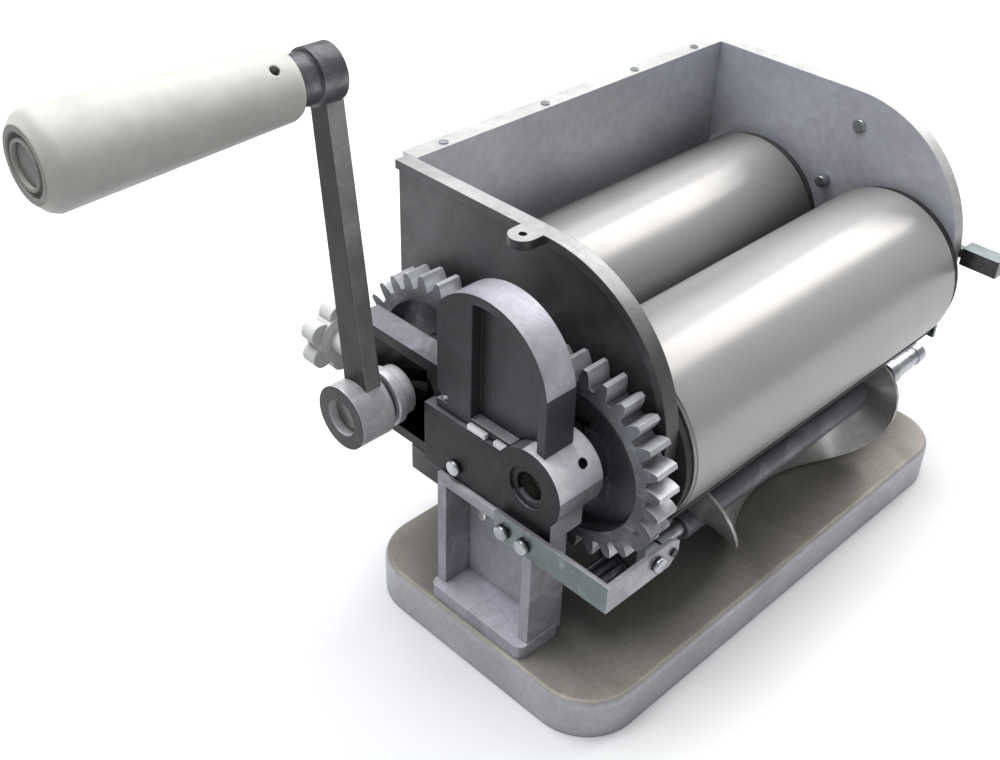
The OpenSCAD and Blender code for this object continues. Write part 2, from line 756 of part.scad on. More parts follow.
module back_wall() {
  color("silver") difference() {
    union() {
      box([near_in, back_y - back_t, back_low_z], [far_in, back_y, top_z]);
      box([near_in, back_y - back_t, top_z - rim_h], [far_in, back_y + rim_h, top_z]);
    }
    for (x = rim_screw_xs) translate([x, back_y - back_t / 4, top_z - rim_h * 2])
      cylinder(h = rim_h * 3, r = small_r);
  }
}

module rim_screws() {
  color("gray") for (x = rim_screw_xs) translate([x, back_y - back_t / 4, 0]) {
    translate([0, 0, top_z - rim_h * 2 + over / 4]) cylinder(h = rim_h * 2, r = small_r - run_gap);
    translate([0, 0, top_z]) cylinder(h = pan_h / 4, r = rim_screw_r);
  }
}

module wall_screw() {
  color("silver") at_yz(wall_screw_at) {
    rod_x(far_in - pan_h / 2, far_in, pan_r);
    rod_x(far_in - pan_h / 4, far_x + over / 4, small_r - run_gap);
  }
}

module nip_studs() {
  color("silver") at_yz(stud_at) {
    rod_x(far_in - stud_r * 1.6, far_in, stud_r);
    rod_x(far_in - stud_r, far_x + over / 4, small_r - run_gap);
  }
}

module far_bearing_plate() {
  color("gray") difference() {
    union() {
      slab_x(far_x, far_plate_x1) {
        translate([head_y0, ped_top_z]) square([head_y1 - head_y0, head_top_z - ped_top_z]);
        translate(front_axis) circle(r = boss_r);
        translate([head_y1 - bar_t, frame_z0]) square([frame_y1 - head_y1 + bar_t, frame_z1 - frame_z0]);
      }
      box([far_x, head_y0, head_top_z - over], [far_plate_x1, head_y1, far_bolt_z + far_bolt_r * 2]);
    }
    box([far_x - over, slot_y0, slot_z0], [far_plate_x1 + over, slot_y1, slot_z1]);
    at_yz(front_axis) rod_x(far_x - over, far_plate_x1 + over, bush_r);
    translate([far_bolt_x, head_y0 - over, far_bolt_z]) rotate([-90, 0, 0])
      cylinder(h = slot_y0 - head_y0 + 2 * over, r = far_bolt_r + run_gap);
    plate_places() rod_x(far_x - over, far_plate_x1 + over, small_r);
  }
}

module plate_places() {
  for (p = [[head_y0 + bar_t, ped_top_z + bar_t], [head_y1 - bar_t, ped_top_z + bar_t],
    [frame_y1 - bar_t * 3 / 4, frame_z0 + bar_t]]) at_yz(p) children();
}

module plate_screws() {
  color("silver") plate_places() {
    rod_x(far_x, far_plate_x1, small_r - run_gap);
    rod_x(far_plate_x1, far_plate_x1 + pan_h, pan_r);
  }
}

module ring_x(x0, x1, ro, ri) {
  difference() {
    rod_x(x0, x1, ro);
    rod_x(x0 - over, x1 + over, ri);
  }
}

module cheek_bushes() {
  color("goldenrod") {
    at_yz(front_axis) ring_x(near_x, near_in, cheek_bore_r + bush_wall, shaft_r + run_gap);
    at_yz(front_axis) ring_x(far_in, far_x, cheek_bore_r + bush_wall, shaft_r + run_gap);
  }
}

module head_bush() {
  color("goldenrod") {
    at_yz(front_axis) ring_x(head_x0 + head_skin, boss_x1, bush_r, shaft_r + run_gap);
    at_yz(front_axis) ring_x(far_x, far_plate_x1, bush_r, shaft_r + run_gap);
  }
}

module boss_set_screw() {
  color("dimgray") at_yz(front_axis) translate([set_hole_x, 0, 0]) rotate([set_hole_lean, 0, 0])
    translate([0, 0, bush_r + run_gap]) cylinder(h = boss_r - bush_r - over, r = set_hole_r - run_gap);
}

module block_shape(x0, x1) {
  difference() {
    box([x0, rear_y - block_l / 2, slot_z0 + block_play], [x1, rear_y + block_l / 2, slot_z1 - block_play]);
    at_yz(rear_axis) rod_x(x0 - over, x1 + over, bush_r);
  }
}

module near_block() {
  color("dimgray") block_shape(frame_x0 + block_set, ped_x1);
}

module far_block() {
  color("dimgray") block_shape(far_x + thin, far_plate_x1 - over);
}

module crank_bush() {
  color("silver") {
    at_yz(rear_axis) difference() {
      union() {
        rod_x(bush_x0, bush_x0 + flange_w, flange_r);
        rod_x(bush_x0 + flange_w / 2, ped_x1, bush_r);
      }
      rod_x(bush_x0 - over, ped_x1 + over, shaft_r + run_gap);
    }
    at_yz(rear_axis) ring_x(far_x + thin, far_plate_x1 - over, bush_r, shaft_r + run_gap);
  }
}

module seal_pair(x0, x1) {
  for (p = [front_axis, rear_axis]) at_yz(p) ring_x(x0, x1, roller_r - seal_set, cheek_bore_r + bush_wall);
}

module near_seals() {
  color("dimgray") seal_pair(near_in, near_in + seal_t);
}

module far_seals() {
  color("dimgray") seal_pair(far_in - seal_t, far_in);
}

module roller() {
  difference() {
    union() {
      rod_x(roller_x0 + roller_bevel, roller_x1 - roller_bevel, roller_r);
      rod_x(roller_x0, roller_x1, roller_r - roller_bevel);
    }
    ring_x(roller_x0 - over, roller_x0 + roller_dish, roller_r - roller_wall, shaft_r * 2);
    ring_x(roller_x1 - roller_dish, roller_x1 + over, roller_r - roller_wall, shaft_r * 2);
    rod_x(roller_x0 - over, roller_x1 + over, shaft_r);
  }
}

module front_roller() {
  color("whitesmoke") at_yz(front_axis) roller();
}

module rear_roller() {
  color("whitesmoke") at_yz(rear_axis) roller();
}

module front_shaft() {
  color("silver") at_yz(front_axis) rod_x(head_x0 + head_skin * 3, far_plate_x1 - over, shaft_r);
}

module crank_shaft() {
  color("silver") at_yz(rear_axis) {
    rod_x(hub_x0 + over * 2, far_plate_x1 - over, shaft_r);
    rod_x(hub_x1, bush_x0 - thin, (shaft_r + flange_r) / 2);
  }
}

module front_gear() {
  color("lightsteelblue") at_yz(front_axis) difference() {
    dished_gear(gear_teeth, 0, gear_hub_r);
    gear_pin_hole();
  }
}

module rear_gear() {
  color("lightsteelblue") at_yz(rear_axis) difference() {
    dished_gear(gear_teeth, 0, gear_hub_r);
    gear_pin_hole();
  }
}

module gear_pin_hole() {
  translate([gear_x0 + gear_w * 2 / 3 - over, 0, shaft_r])
    cylinder(h = gear_hub_r - shaft_r + over, r = small_r);
}

module gear_pin() {
  color("dimgray") translate([gear_x0 + gear_w * 2 / 3 - over, 0, shaft_r])
    cylinder(h = gear_hub_r - shaft_r, r = small_r - run_gap);
}

module front_gear_pin() {
  at_yz(front_axis) gear_pin();
}

module rear_gear_pin() {
  at_yz(rear_axis) gear_pin();
}

module crank_arm() {
  color("silver") at_yz(rear_axis) difference() {
    union() {
      rod_x(hub_x0, hub_x1, hub_r);
      at_yz([0, crank_throw]) rod_x(eye_x0, eye_x1, eye_r);
      at_yz([0, crank_throw]) rod_x(eye_x0 - neck_l, eye_x0, neck_r);
      crank_bar();
    }
    rod_x(hub_x0 - over, hub_x1 + over, shaft_r);
    at_yz([0, crank_throw]) {
      rod_x(eye_x0 - neck_l - over, eye_x1 + over, spindle_r);
      rod_x(eye_x1, eye_x1 + pan_h, spindle_r * spot_share);
    }
    translate([hub_x1 - ped_rib_t, 0, 0]) rotate([180, 0, 0]) cylinder(h = hub_r + over, r = small_r);
  }
}

// Bar that tapers from hub to grip and leans outwards
module crank_bar() {
  intersection() {
    slab_x(eye_x0, hub_x1) polygon([[-crank_w0 / 2, 0], [crank_w0 / 2, 0],
      [crank_w1 / 2, crank_throw], [-crank_w1 / 2, crank_throw]]);
    translate([0, crank_w0, 0]) rotate([90, 0, 0]) linear_extrude(2 * crank_w0)
      polygon([[bar_x0, 0], [bar_x0 + crank_t, 0], [bar_x0 + crank_t - bar_lean, crank_throw],
        [bar_x0 - bar_lean, crank_throw]]);
  }
}

module crank_pin() {
  color("dimgray") at_yz(rear_axis) translate([hub_x1 - ped_rib_t, 0, 0]) rotate([180, 0, 0])
    translate([0, 0, shaft_r]) cylinder(h = hub_r - shaft_r - over / 4, r = small_r - run_gap);
}

module grip_spindle() {
  color("silver") at_yz(rear_axis + [0, crank_throw]) {
    rod_x(grip_x0 - grip_l + grip_bevel - 2 * thin, eye_x1, spindle_r);
    rod_x(eye_x1, eye_x1 + pan_h / 2, spindle_r + over / 2);
  }
}

module grip() {
  color("ivory") at_yz(rear_axis + [0, crank_throw]) translate([grip_x0 - thin, 0, 0]) rotate([0, -90, 0])
    difference() {
      rotate_extrude() polygon([[spindle_r + run_gap, 0], [grip_r0 - grip_shoulder, 0],
        [grip_r0 - grip_shoulder / 4, grip_shoulder / 3], [grip_r0, grip_shoulder],
        [grip_r1, grip_l - grip_bevel * 1.3], [grip_r1 - grip_bevel / 4, grip_l - grip_bevel * 0.7],
        [grip_r1 - grip_bevel, grip_l], [spindle_r + run_gap, grip_l]]);
      translate([0, 0, grip_l - grip_bevel / 2]) ring_z(grip_bevel, grip_r1 * 0.62, grip_r1 * 0.5);
      translate([0, 0, grip_l - grip_bevel]) cylinder(h = grip_bevel * 2, r = spindle_r * 1.4);
      translate([0, 0, pin_hole_at]) rotate([0, 90, -40]) cylinder(h = grip_r1 * 2, r = pin_hole_r);
    }
}

module ring_z(h, ro, ri) {
  difference() {
    cylinder(h = h, r = ro);
    translate([0, 0, -over]) cylinder(h = h + 2 * over, r = ri);
  }
}

module grip_cap() {
  color("silver") at_yz(rear_axis + [0, crank_throw])
    rod_x(grip_x0 - grip_l + grip_bevel / 4, grip_x0 - grip_l + grip_bevel - 2 * thin, spindle_r * 1.3);
}

module adjust_screw() {
  color("silver") translate([knob_x, rear_y + block_l / 2 + thin, axis_z]) rotate([-90, 0, 0])
    cylinder(h = knob_y0 + knob_l / 2 - rear_y - block_l / 2 - thin, r = adj_r);
}

module adjust_knob() {
  color("white") translate([knob_x, knob_y0, axis_z]) rotate([-90, 0, 0]) difference() {
    union() {
      cylinder(h = knob_l, r = knob_core_r);
      for (i = [0:knob_lobes - 1]) rotate([0, 0, (i + 0.5) * 360 / knob_lobes])
        translate([knob_core_r, 0, over / 2]) cylinder(h = knob_l - over, r = knob_lobe_r);
      translate([0, 0, -bar_t * 2]) cylinder(h = bar_t * 2 + over, r = adj_r * 1.5);
    }
    translate([0, 0, -bar_t * 2 - over]) cylinder(h = bar_t * 2 + over + knob_l / 2, r = adj_r);
  }
}

module far_adjust_bolt() {
  color("dimgray") translate([far_bolt_x, far_bolt_y0, far_bolt_z]) {
    translate([-far_head_w / 2, 0, -far_head_w / 2]) cube([far_head_w, far_head_l, far_head_w]);
    rotate([-90, 0, 0]) cylinder(h = rear_y - block_l / 2 - thin - far_bolt_y0, r = far_bolt_r);
  }
}

// One point of the band: a circle of cut_r rolled on to the cutting radius
function band_point(phi, rho, r) =
  let (a = band_turn + rho * sin(phi) / edge_r * 180 / PI)
  [cut_x + rho * cos(phi), cut_y + r * cos(a), cut_z + r * sin(a)];
function band_ring(phi) = [band_point(phi, cut_r - cut_t / 2, tube_r + thin / 2),
  band_point(phi, cut_r - cut_t / 2, edge_r), band_point(phi, cut_r + cut_t / 2, edge_r),
  band_point(phi, cut_r + cut_t / 2, tube_r + thin / 2)];

module cutter_band() {
  pts = [for (i = [0:cut_steps - 1]) for (p = band_ring(i * 360 / cut_steps)) p];
  color("silver") polyhedron(points = pts, faces = [for (i = [0:cut_steps - 1]) for (k = [0:3])
    for (t = [0, 1]) let (j = (i + 1) % cut_steps, l = (k + 1) % 4)
    t == 0 ? [4 * i + k, 4 * j + k, 4 * j + l] : [4 * i + k, 4 * j + l, 4 * i + l]], convexity = 8);
}

module cutter_tube() {
  color("gray") at_yz(cut_axis) ring_x(cut_x - cut_r - tube_r, cut_x + cut_r + cut_t, tube_r, cut_shaft_r);
}

module cutter_shaft() {
  color("silver") at_yz(cut_axis) rod_x(collar_x0 - over, cut_shaft_x1 - over / 2, cut_shaft_r);
}

module cutter_collar() {
  color("lightsteelblue") at_yz(cut_axis) difference() {
    rod_x(collar_x0, collar_x1, collar_r);
    for (i = [0:collar_flutes - 1]) rotate([i * 360 / collar_flutes, 0, 0])
      translate([0, collar_r, 0]) rod_x(collar_x0 - over, collar_x1 - over / 2, flute_d, $fn = 12);
    rod_x(collar_x0 - over, collar_x1 + over, cut_shaft_r);
  }
}

module cutter_nut() {
  w = cut_nut_w;
  color("silver") at_yz(cut_axis) difference() {
    union() {
      rod_x(cut_shaft_x1 - w, cut_shaft_x1, cut_nut_r);
      rod_x(cut_shaft_x1 - 2 * w, cut_shaft_x1 - w, cut_nut_r - over / 4);
      rod_x(cut_shaft_x1 - 4 * w, cut_shaft_x1 - 2 * w, cut_nut_r);
      rod_x(cut_shaft_x1 - 5 * w, cut_shaft_x1 - 4 * w, cut_nut_r + over / 2);
    }
    rod_x(cut_shaft_x1 - 6 * w, cut_shaft_x1 - over / 2, cut_shaft_r);
  }
}

module cutter_bushes() {
  color("goldenrod") at_yz(cut_axis) {
    ring_x(near_x, near_in, cut_shaft_r + bush_wall / 2, cut_shaft_r + run_gap);
    ring_x(leg_x0, leg_x0 + leg_t, cut_shaft_r + bush_wall / 2, cut_shaft_r + run_gap);
  }
}

module strap() {
  color("lightslategray") difference() {
    union() {
      box([ped_x0 - strap_t, strap_y0, strap_z], [ped_x0, strap_y1, strap_z + strap_h]);
      translate([0, strap_y0 + strap_t, 0]) rotate([90, 0, 0]) linear_extrude(strap_t)
        polygon([[ped_x0 - strap_t, strap_z], [strap_x1 - strap_cut, strap_z],
          [strap_x1, strap_z + strap_cut], [strap_x1, strap_z + strap_h - strap_cut / 2],
          [strap_x1 - strap_cut, strap_z + strap_h], [ped_x0 - strap_t, strap_z + strap_h]]);
    }
    for (p = strap_screw_at) at_yz(p) rod_x(ped_x0 - over * 2, ped_x0 + over, small_r);
    for (x = [arm_screw_x, arm_hole_x]) translate([x, strap_y0, strap_z + strap_h / 2]) rotate([90, 0, 0])
      cylinder(h = strap_t * 3, r = small_r / 1.2, center = true);
  }
}

module strap_screws() {
  color("silver") for (p = strap_screw_at) at_yz(p) {
    rod_x(ped_x0 - strap_t - pan_h, ped_x0 - strap_t, pan_r);
    rod_x(ped_x0 - strap_t - pan_h / 2, ped_x0 + ped_rib_t - over / 4, small_r - run_gap);
  }
}

module arm_screw() {
  color("silver") translate([arm_screw_x, strap_y0, strap_z + strap_h / 2]) rotate([90, 0, 0]) {
    cylinder(h = pan_h, r = pan_r);
    translate([0, 0, -strap_t - over / 2]) cylinder(h = strap_t + over, r = small_r / 1.2 - run_gap);
  }
}

module stripping_wire() {
  leg_from = [strap_y0 - strap_t / 4, strap_z + strap_h / 2];
  rise = wire_at[1] - leg_from[1];
  run = wire_at[0] - leg_from[0];
  across = wire_bend_x - arm_hole_x;
  leg = norm([across, run, rise]);
  color("dimgray") {
    at_yz(wire_at) rod_x(wire_bend_x - wire_r, far_x + post_t, wire_r);
    translate([arm_hole_x, leg_from[0], leg_from[1]]) rotate([0, acos(rise / leg), atan2(run, across)])
      cylinder(h = leg, r = wire_r * 0.85);
    translate([arm_hole_x, strap_y0 - strap_t / 2, leg_from[1]]) rotate([-90, 0, 0])
      cylinder(h = strap_t / 2, r = small_r);
  }
}

module wire_post() {
  color("gray") difference() {
    box([far_x, wire_at[0] - over, wire_at[1] - post_h / 2],
      [far_x + post_t, post_y1, wire_at[1] + post_h / 2]);
    at_yz(wire_at) rod_x(far_x - over, far_x + post_t + over, wire_r + run_gap);
  }
}

module side_tab() {
  color("dimgray") difference() {
    union() {
      box([tab_x, ped_half_w, tab_z], [tab_x + tab_t, tab_y1, tab_z + tab_h]);
      box([tab_x, ped_half_w, tab_z], [ped_x1 - ped_rib_t, ped_half_w + tab_t, tab_z + tab_h]);
    }
    translate([tab_x + ped_rib_t, ped_half_w, tab_z + tab_h / 2]) rotate([90, 0, 0])
      cylinder(h = tab_t * 3, r = small_r, center = true);
  }
}

module tab_screw() {
  color("silver") translate([tab_x + ped_rib_t, ped_half_w + tab_t, tab_z + tab_h / 2]) rotate([-90, 0, 0]) {
    cylinder(h = pan_h, r = pan_r * 0.8);
    translate([0, 0, -tab_t - ped_rib_t / 2])
      cylinder(h = tab_t + ped_rib_t / 2 + over / 4, r = small_r - run_gap);
  }
}

module rear_scraper() {
  color("silver") translate([near_in, scraper_at[0] + blade_back, scraper_at[1] + scraper_bar_t])
    rotate([blade_lean, 0, 0]) cube([far_in - near_in, blade_t, blade_l]);
}

module scraper_bar() {
  color("gray") box([near_in, scraper_at[0], scraper_at[1]],
    [far_in, scraper_at[0] + scraper_bar_t, scraper_at[1] + scraper_bar_t]);
}

base_plate();
foot_screws();
near_pedestal();
far_pedestal();
bearing_head();
raised_pads();
head_screws();
gear_guard();
guard_bolts();
spacer_pillars();
near_cheek();
far_cheek();
back_wall();
rim_screws();
wall_screw();
nip_studs();
far_bearing_plate();
plate_screws();
cheek_bushes();
head_bush();
boss_set_screw();
near_block();
far_block();
crank_bush();
near_seals();
far_seals();
front_roller();
rear_roller();
front_shaft();
crank_shaft();
front_gear();
rear_gear();
front_gear_pin();
rear_gear_pin();
crank_arm();
crank_pin();
grip_spindle();
grip();
grip_cap();
adjust_screw();
adjust_knob();
far_adjust_bolt();
cutter_band();
cutter_tube();
cutter_shaft();
cutter_collar();
cutter_nut();
cutter_bushes();
strap();
strap_screws();
arm_screw();
stripping_wire();
wire_post();
side_tab();
tab_screw();
rear_scraper();
scraper_bar();
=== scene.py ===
import json
import math
import bmesh
import bpy
from mathutils import Matrix, Vector

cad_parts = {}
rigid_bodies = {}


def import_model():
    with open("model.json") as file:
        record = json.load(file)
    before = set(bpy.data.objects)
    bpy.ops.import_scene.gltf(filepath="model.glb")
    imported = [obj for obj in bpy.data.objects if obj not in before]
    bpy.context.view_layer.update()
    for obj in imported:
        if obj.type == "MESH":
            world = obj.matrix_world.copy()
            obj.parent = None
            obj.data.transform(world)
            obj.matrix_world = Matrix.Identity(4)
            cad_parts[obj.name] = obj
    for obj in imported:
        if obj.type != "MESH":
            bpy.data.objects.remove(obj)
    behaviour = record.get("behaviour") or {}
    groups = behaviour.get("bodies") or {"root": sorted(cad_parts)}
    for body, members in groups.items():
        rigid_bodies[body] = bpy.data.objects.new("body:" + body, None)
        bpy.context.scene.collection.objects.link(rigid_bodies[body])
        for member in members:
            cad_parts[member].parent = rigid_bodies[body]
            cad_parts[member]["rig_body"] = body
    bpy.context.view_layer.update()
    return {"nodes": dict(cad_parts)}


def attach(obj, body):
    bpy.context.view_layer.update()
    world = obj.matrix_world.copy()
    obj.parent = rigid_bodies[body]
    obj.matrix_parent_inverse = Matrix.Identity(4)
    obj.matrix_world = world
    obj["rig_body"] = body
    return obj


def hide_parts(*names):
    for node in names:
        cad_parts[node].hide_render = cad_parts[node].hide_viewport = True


# The looks of the hand crank tortilla press, round the frame of its CAD model. Lengths are metres.

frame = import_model()
nodes = frame["nodes"]
node_body = {n: o["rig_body"] for n, o in nodes.items()}


# Materials. The scale of a noise is in waves per metre.

# Sockets of a colour Mix node, by their numbers: Blender gives several the same name
MIX_A, MIX_B, MIX_OUT = 6, 7, 2
# Levels of the noises between which smudges, grain, stains and roughness go from one end to the other
SMUDGE_SPAN, GRAIN_SPAN, STAIN_SPAN, ROUGH_SPAN = (0.32, 0.68), (0.3, 0.7), (0.52, 0.68), (0.3, 0.7)
PLASTIC_SPAN, PLASTIC_GRAIN_SPAN = (0.3, 0.7), (0.35, 0.65)
# Factors of the fine grain on plastic
PLASTIC_SPECK = (0.95, 1.02)
# Openness of a corner at which its painted shade is darkest, and at which it has none
METAL_OPEN, PLASTIC_OPEN = (0.25, 0.85), (0.3, 0.9)
# Painted shade in corners is looked up with this many rays, and soft edges with this many
CORNER_RAYS, EDGE_RAYS = 6, 4
# Distances from the middle of a pit to the end of its floor and to its brim, in cells of its pattern
PIT_SPAN = (0.05, 0.22)
# Pits to a wave of the grain, and waves of the roughness to a smudge
PIT_SHARE, ROUGH_SHARE = 0.8, 2.3
# Heights of the relief that a bump strength of 1 stands for
GRAIN_DEPTH, STREAK_DEPTH, PLASTIC_DEPTH = 0.0003, 0.00008, 0.0002
# Distance over which painted shade darkens the corners of plastic
PLASTIC_CORNER = 0.004
# Share of the mirror reflection on dull surfaces
DULL_SPEC = 0.25
# The brightest that a worn finish may be
PALEST = 0.95
# A quarter turn: turning marks run round a roller, so its highlights run along it
LENGTHWISE = 0.25


class Net:
    """Small helper that builds a node tree line by line."""

    def __init__(self, name):
        self.mat = bpy.data.materials.new(name)
        self.mat.use_nodes = True
        self.tree = self.mat.node_tree
        self.tree.nodes.clear()
        self.out = self.add("ShaderNodeOutputMaterial")
        self.bsdf = self.add("ShaderNodeBsdfPrincipled")
        self.link(self.bsdf, "BSDF", self.out, "Surface")
        self.coord = self.add("ShaderNodeTexCoord")

    def add(self, kind, **props):
        """A new node with its properties set."""
        node = self.tree.nodes.new(kind)
        for key, value in props.items():
            setattr(node, key, value)
        return node

    def link(self, a, out, b, into):
        """Join an output of node a to an input of node b."""
        self.tree.links.new(a.outputs[out], b.inputs[into])

    def place(self, scale=(1, 1, 1)):
        """The object's own coordinates, scaled, so that the pattern moves with the piece."""
        m = self.add("ShaderNodeMapping")
        m.inputs["Scale"].default_value = scale
        self.link(self.coord, "Object", m, "Vector")
        return m

    def noise(self, scale, detail=4, rough=0.5, stretch=(1, 1, 1), distort=0.0):
        """A noise over the piece. A stretch above 1 packs its waves closer along that axis."""
        n = self.add("ShaderNodeTexNoise")
        n.inputs["Scale"].default_value = scale
        n.inputs["Detail"].default_value = detail
        n.inputs["Roughness"].default_value = rough
        n.inputs["Distortion"].default_value = distort
        self.link(self.place(stretch), "Vector", n, "Vector")
        return n

    def ramp(self, source, out, stops):
        """A ramp through stops of (position, grey or colour)."""
        r = self.add("ShaderNodeValToRGB")
        while len(r.color_ramp.elements) < len(stops):
            r.color_ramp.elements.new(0.5)
        for e, (pos, col) in zip(r.color_ramp.elements, stops):
            e.position = pos
            e.color = (col, col, col, 1) if isinstance(col, (int, float)) else (*col, 1)
        self.link(source, out, r, "Fac")
        return r

    def mix(self, a, b, fac, mode="MIX"):
        """A blend, as (node, output). a and b are (node, output) or a colour, fac also a number."""
        m = self.add("ShaderNodeMix", data_type="RGBA", blend_type=mode)
        for key, value in ((MIX_A, a), (MIX_B, b)):
            if isinstance(value[0], (int, float)):
                m.inputs[key].default_value = (*value, 1)
            else:
                self.tree.links.new(value[0].outputs[value[1]], m.inputs[key])
        if isinstance(fac, (int, float)):
            m.inputs[0].default_value = fac
        else:
            self.tree.links.new(fac[0].outputs[fac[1]], m.inputs[0])
        return m, MIX_OUT

    def larger(self, a, b):
        """The larger of two (node, output) values, as (node, output)."""
        m = self.add("ShaderNodeMath", operation="MAXIMUM")
        for key, (source, out) in enumerate((a, b)):
            self.tree.links.new(source.outputs[out], m.inputs[key])
        return m, 0

    def bump(self, source, out, strength, distance, below=None):
        """A normal with the relief of the source, on top of the normal below."""
        b = self.add("ShaderNodeBump")
        b.inputs["Strength"].default_value = strength
        b.inputs["Distance"].default_value = distance
        self.link(source, out, b, "Height")
        if below is not None:
            self.link(below, "Normal", b, "Normal")
        return b

    def soft_edges(self, radius):
        """A normal that rounds edges by this radius in the light only."""
        b = self.add("ShaderNodeBevel", samples=EDGE_RAYS)
        b.inputs["Radius"].default_value = radius
        return b

    def corners(self, colour, distance, corner_shade, span):
        """The colour, darker by the given share where faces stand closer together than the distance: painted
        shade in corners and under things.
        """
        shade = self.add("ShaderNodeAmbientOcclusion", samples=CORNER_RAYS)
        shade.inputs["Distance"].default_value = distance
        wear_and_shade = self.ramp(shade, "AO", list(zip(span, (1.0 - corner_shade, 1.0))))
        return self.mix(colour, (wear_and_shade, "Color"), 1.0, "MULTIPLY")

    def finish(self, colour, source, rough, normal, spec):
        """Join colour, roughness between two values of a noise, normal and mirror share to the surface."""
        self.link(*colour, self.bsdf, "Base Color")
        span = self.ramp(source, "Fac", list(zip(ROUGH_SPAN, rough)))
        self.link(span, "Color", self.bsdf, "Roughness")
        self.link(normal, "Normal", self.bsdf, "Normal")
        self.bsdf.inputs["Specular IOR Level"].default_value = spec
        return self.mat


def faded(net, colour, z_from, z_to, low_colour):
    """The colour above z_to, going over to low_colour below z_from."""
    where = net.add("ShaderNodeSeparateXYZ")
    net.link(net.coord, "Object", where, "Vector")
    span = net.add("ShaderNodeMapRange", interpolation_type="SMOOTHSTEP")
    net.link(where, "Z", span, "Value")
    span.inputs["From Min"].default_value = z_from
    span.inputs["From Max"].default_value = z_to
    return net.mix(low_colour, colour, (span, "Result"))


def pitted(net, scale, strength, below):
    """A normal with small round pits."""
    v = net.add("ShaderNodeTexVoronoi", feature="F1")
    v.inputs["Scale"].default_value = scale
    net.link(net.place(), "Vector", v, "Vector")
    hole = net.ramp(v, "Distance", list(zip(PIT_SPAN, (0.0, 1.0))))
    return net.bump(hole, "Color", strength, GRAIN_DEPTH, below)


def metal(name, low, high, rough=(0.3, 0.45), grain=300.0, pits=0.0, bump=0.15, soft=0.0006,
          smudge=14.0, aniso=0.0, streak=None, corner_shade=0.0, metallic=1.0, shade_reach=0.0035,
          speck=(0.88, 1.06), patina=None, spec=0.5, fade=None):
    """A metal whose colour, roughness and relief vary at three sizes, with painted shade in its corners.

    low, high: the colours between which broad smudges go; speck: the factors of the fine grain on them
    patina: (noise scale, colour, share) of the stains; streak: (noise scale, stretch, strength) of the marks
    corner_shade, shade_reach: share and distance of the painted shade in corners; fade: (z from, z to, colour
    below)
    """
    net = Net(name)
    fine = net.noise(grain, detail=5, rough=0.6)
    broad = net.noise(smudge, rough=0.62, distort=0.6)
    tone = net.ramp(broad, "Fac", list(zip(SMUDGE_SPAN, (low, high))))
    dots = net.ramp(fine, "Fac", list(zip(GRAIN_SPAN, speck)))
    colour = net.mix((tone, "Color"), (dots, "Color"), 1.0, "MULTIPLY")
    if patina:
        scale, stain, share = patina
        spot = net.noise(scale, detail=6, rough=0.7, distort=1.2)
        where = net.ramp(spot, "Fac", list(zip(STAIN_SPAN, (0.0, share))))
        colour = net.mix(colour, stain, (where, "Color"))
    if fade:
        colour = faded(net, colour, *fade)
    if corner_shade:
        colour = net.corners(colour, shade_reach, corner_shade, METAL_OPEN)
    normal = net.soft_edges(soft) if soft else None
    if pits:
        normal = pitted(net, grain * PIT_SHARE, pits, normal)
    if streak:
        scale, stretch, strength = streak
        marks = net.noise(scale, detail=3, stretch=stretch)
        normal = net.bump(marks, "Fac", strength, STREAK_DEPTH, normal)
    normal = net.bump(fine, "Fac", bump, GRAIN_DEPTH, normal)
    net.bsdf.inputs["Metallic"].default_value = metallic
    if aniso:
        round_x = net.add("ShaderNodeTangent", direction_type="RADIAL", axis="X")
        net.link(round_x, "Tangent", net.bsdf, "Tangent")
        net.bsdf.inputs["Anisotropic"].default_value = aniso
        net.bsdf.inputs["Anisotropic Rotation"].default_value = LENGTHWISE
    wiped = net.noise(smudge * ROUGH_SHARE, detail=5, rough=0.6, distort=0.3)
    return net.finish(colour, wiped, rough, normal, spec)


def plastic(name, low, high, rough=(0.35, 0.5), grain=180.0, bump=0.05, soft=0.0008, smudge=25.0,
            corner_shade=0.0):
    """A moulded plastic, stained in broad smudges."""
    net = Net(name)
    broad = net.noise(smudge, detail=5, rough=0.6, distort=0.8)
    fine = net.noise(grain, rough=0.55)
    tone = net.ramp(broad, "Fac", list(zip(PLASTIC_SPAN, (low, high))))
    speck = net.ramp(fine, "Fac", list(zip(PLASTIC_GRAIN_SPAN, PLASTIC_SPECK)))
    colour = net.mix((tone, "Color"), (speck, "Color"), 1.0, "MULTIPLY")
    # Painted shade in the corners
    if corner_shade:
        colour = net.corners(colour, PLASTIC_CORNER, corner_shade, PLASTIC_OPEN)
    normal = net.bump(fine, "Fac", bump, PLASTIC_DEPTH, net.soft_edges(soft))
    return net.finish(colour, fine, rough, normal, DULL_SPEC)


def casting(name, level, rough=(0.36, 0.5), smudge=24, metallic=0.35, tint=(1.0, 0.985, 1.11),
            corner_shade=0.45, spot=0.5, lift=1.9, spec=DULL_SPEC):
    """A cast or ground grey metal around one brightness, with stains that are lift times as bright."""
    low, high, wear_and_shade = (tuple(min(PALEST, level * share * c) for c in tint) for share in (0.72, 1.24, lift))
    return metal(name, low, high, rough, grain=380, pits=0.15, bump=0.25, soft=0.0009, smudge=smudge,
                 corner_shade=corner_shade, metallic=metallic, patina=(38, wear_and_shade, spot), spec=spec)


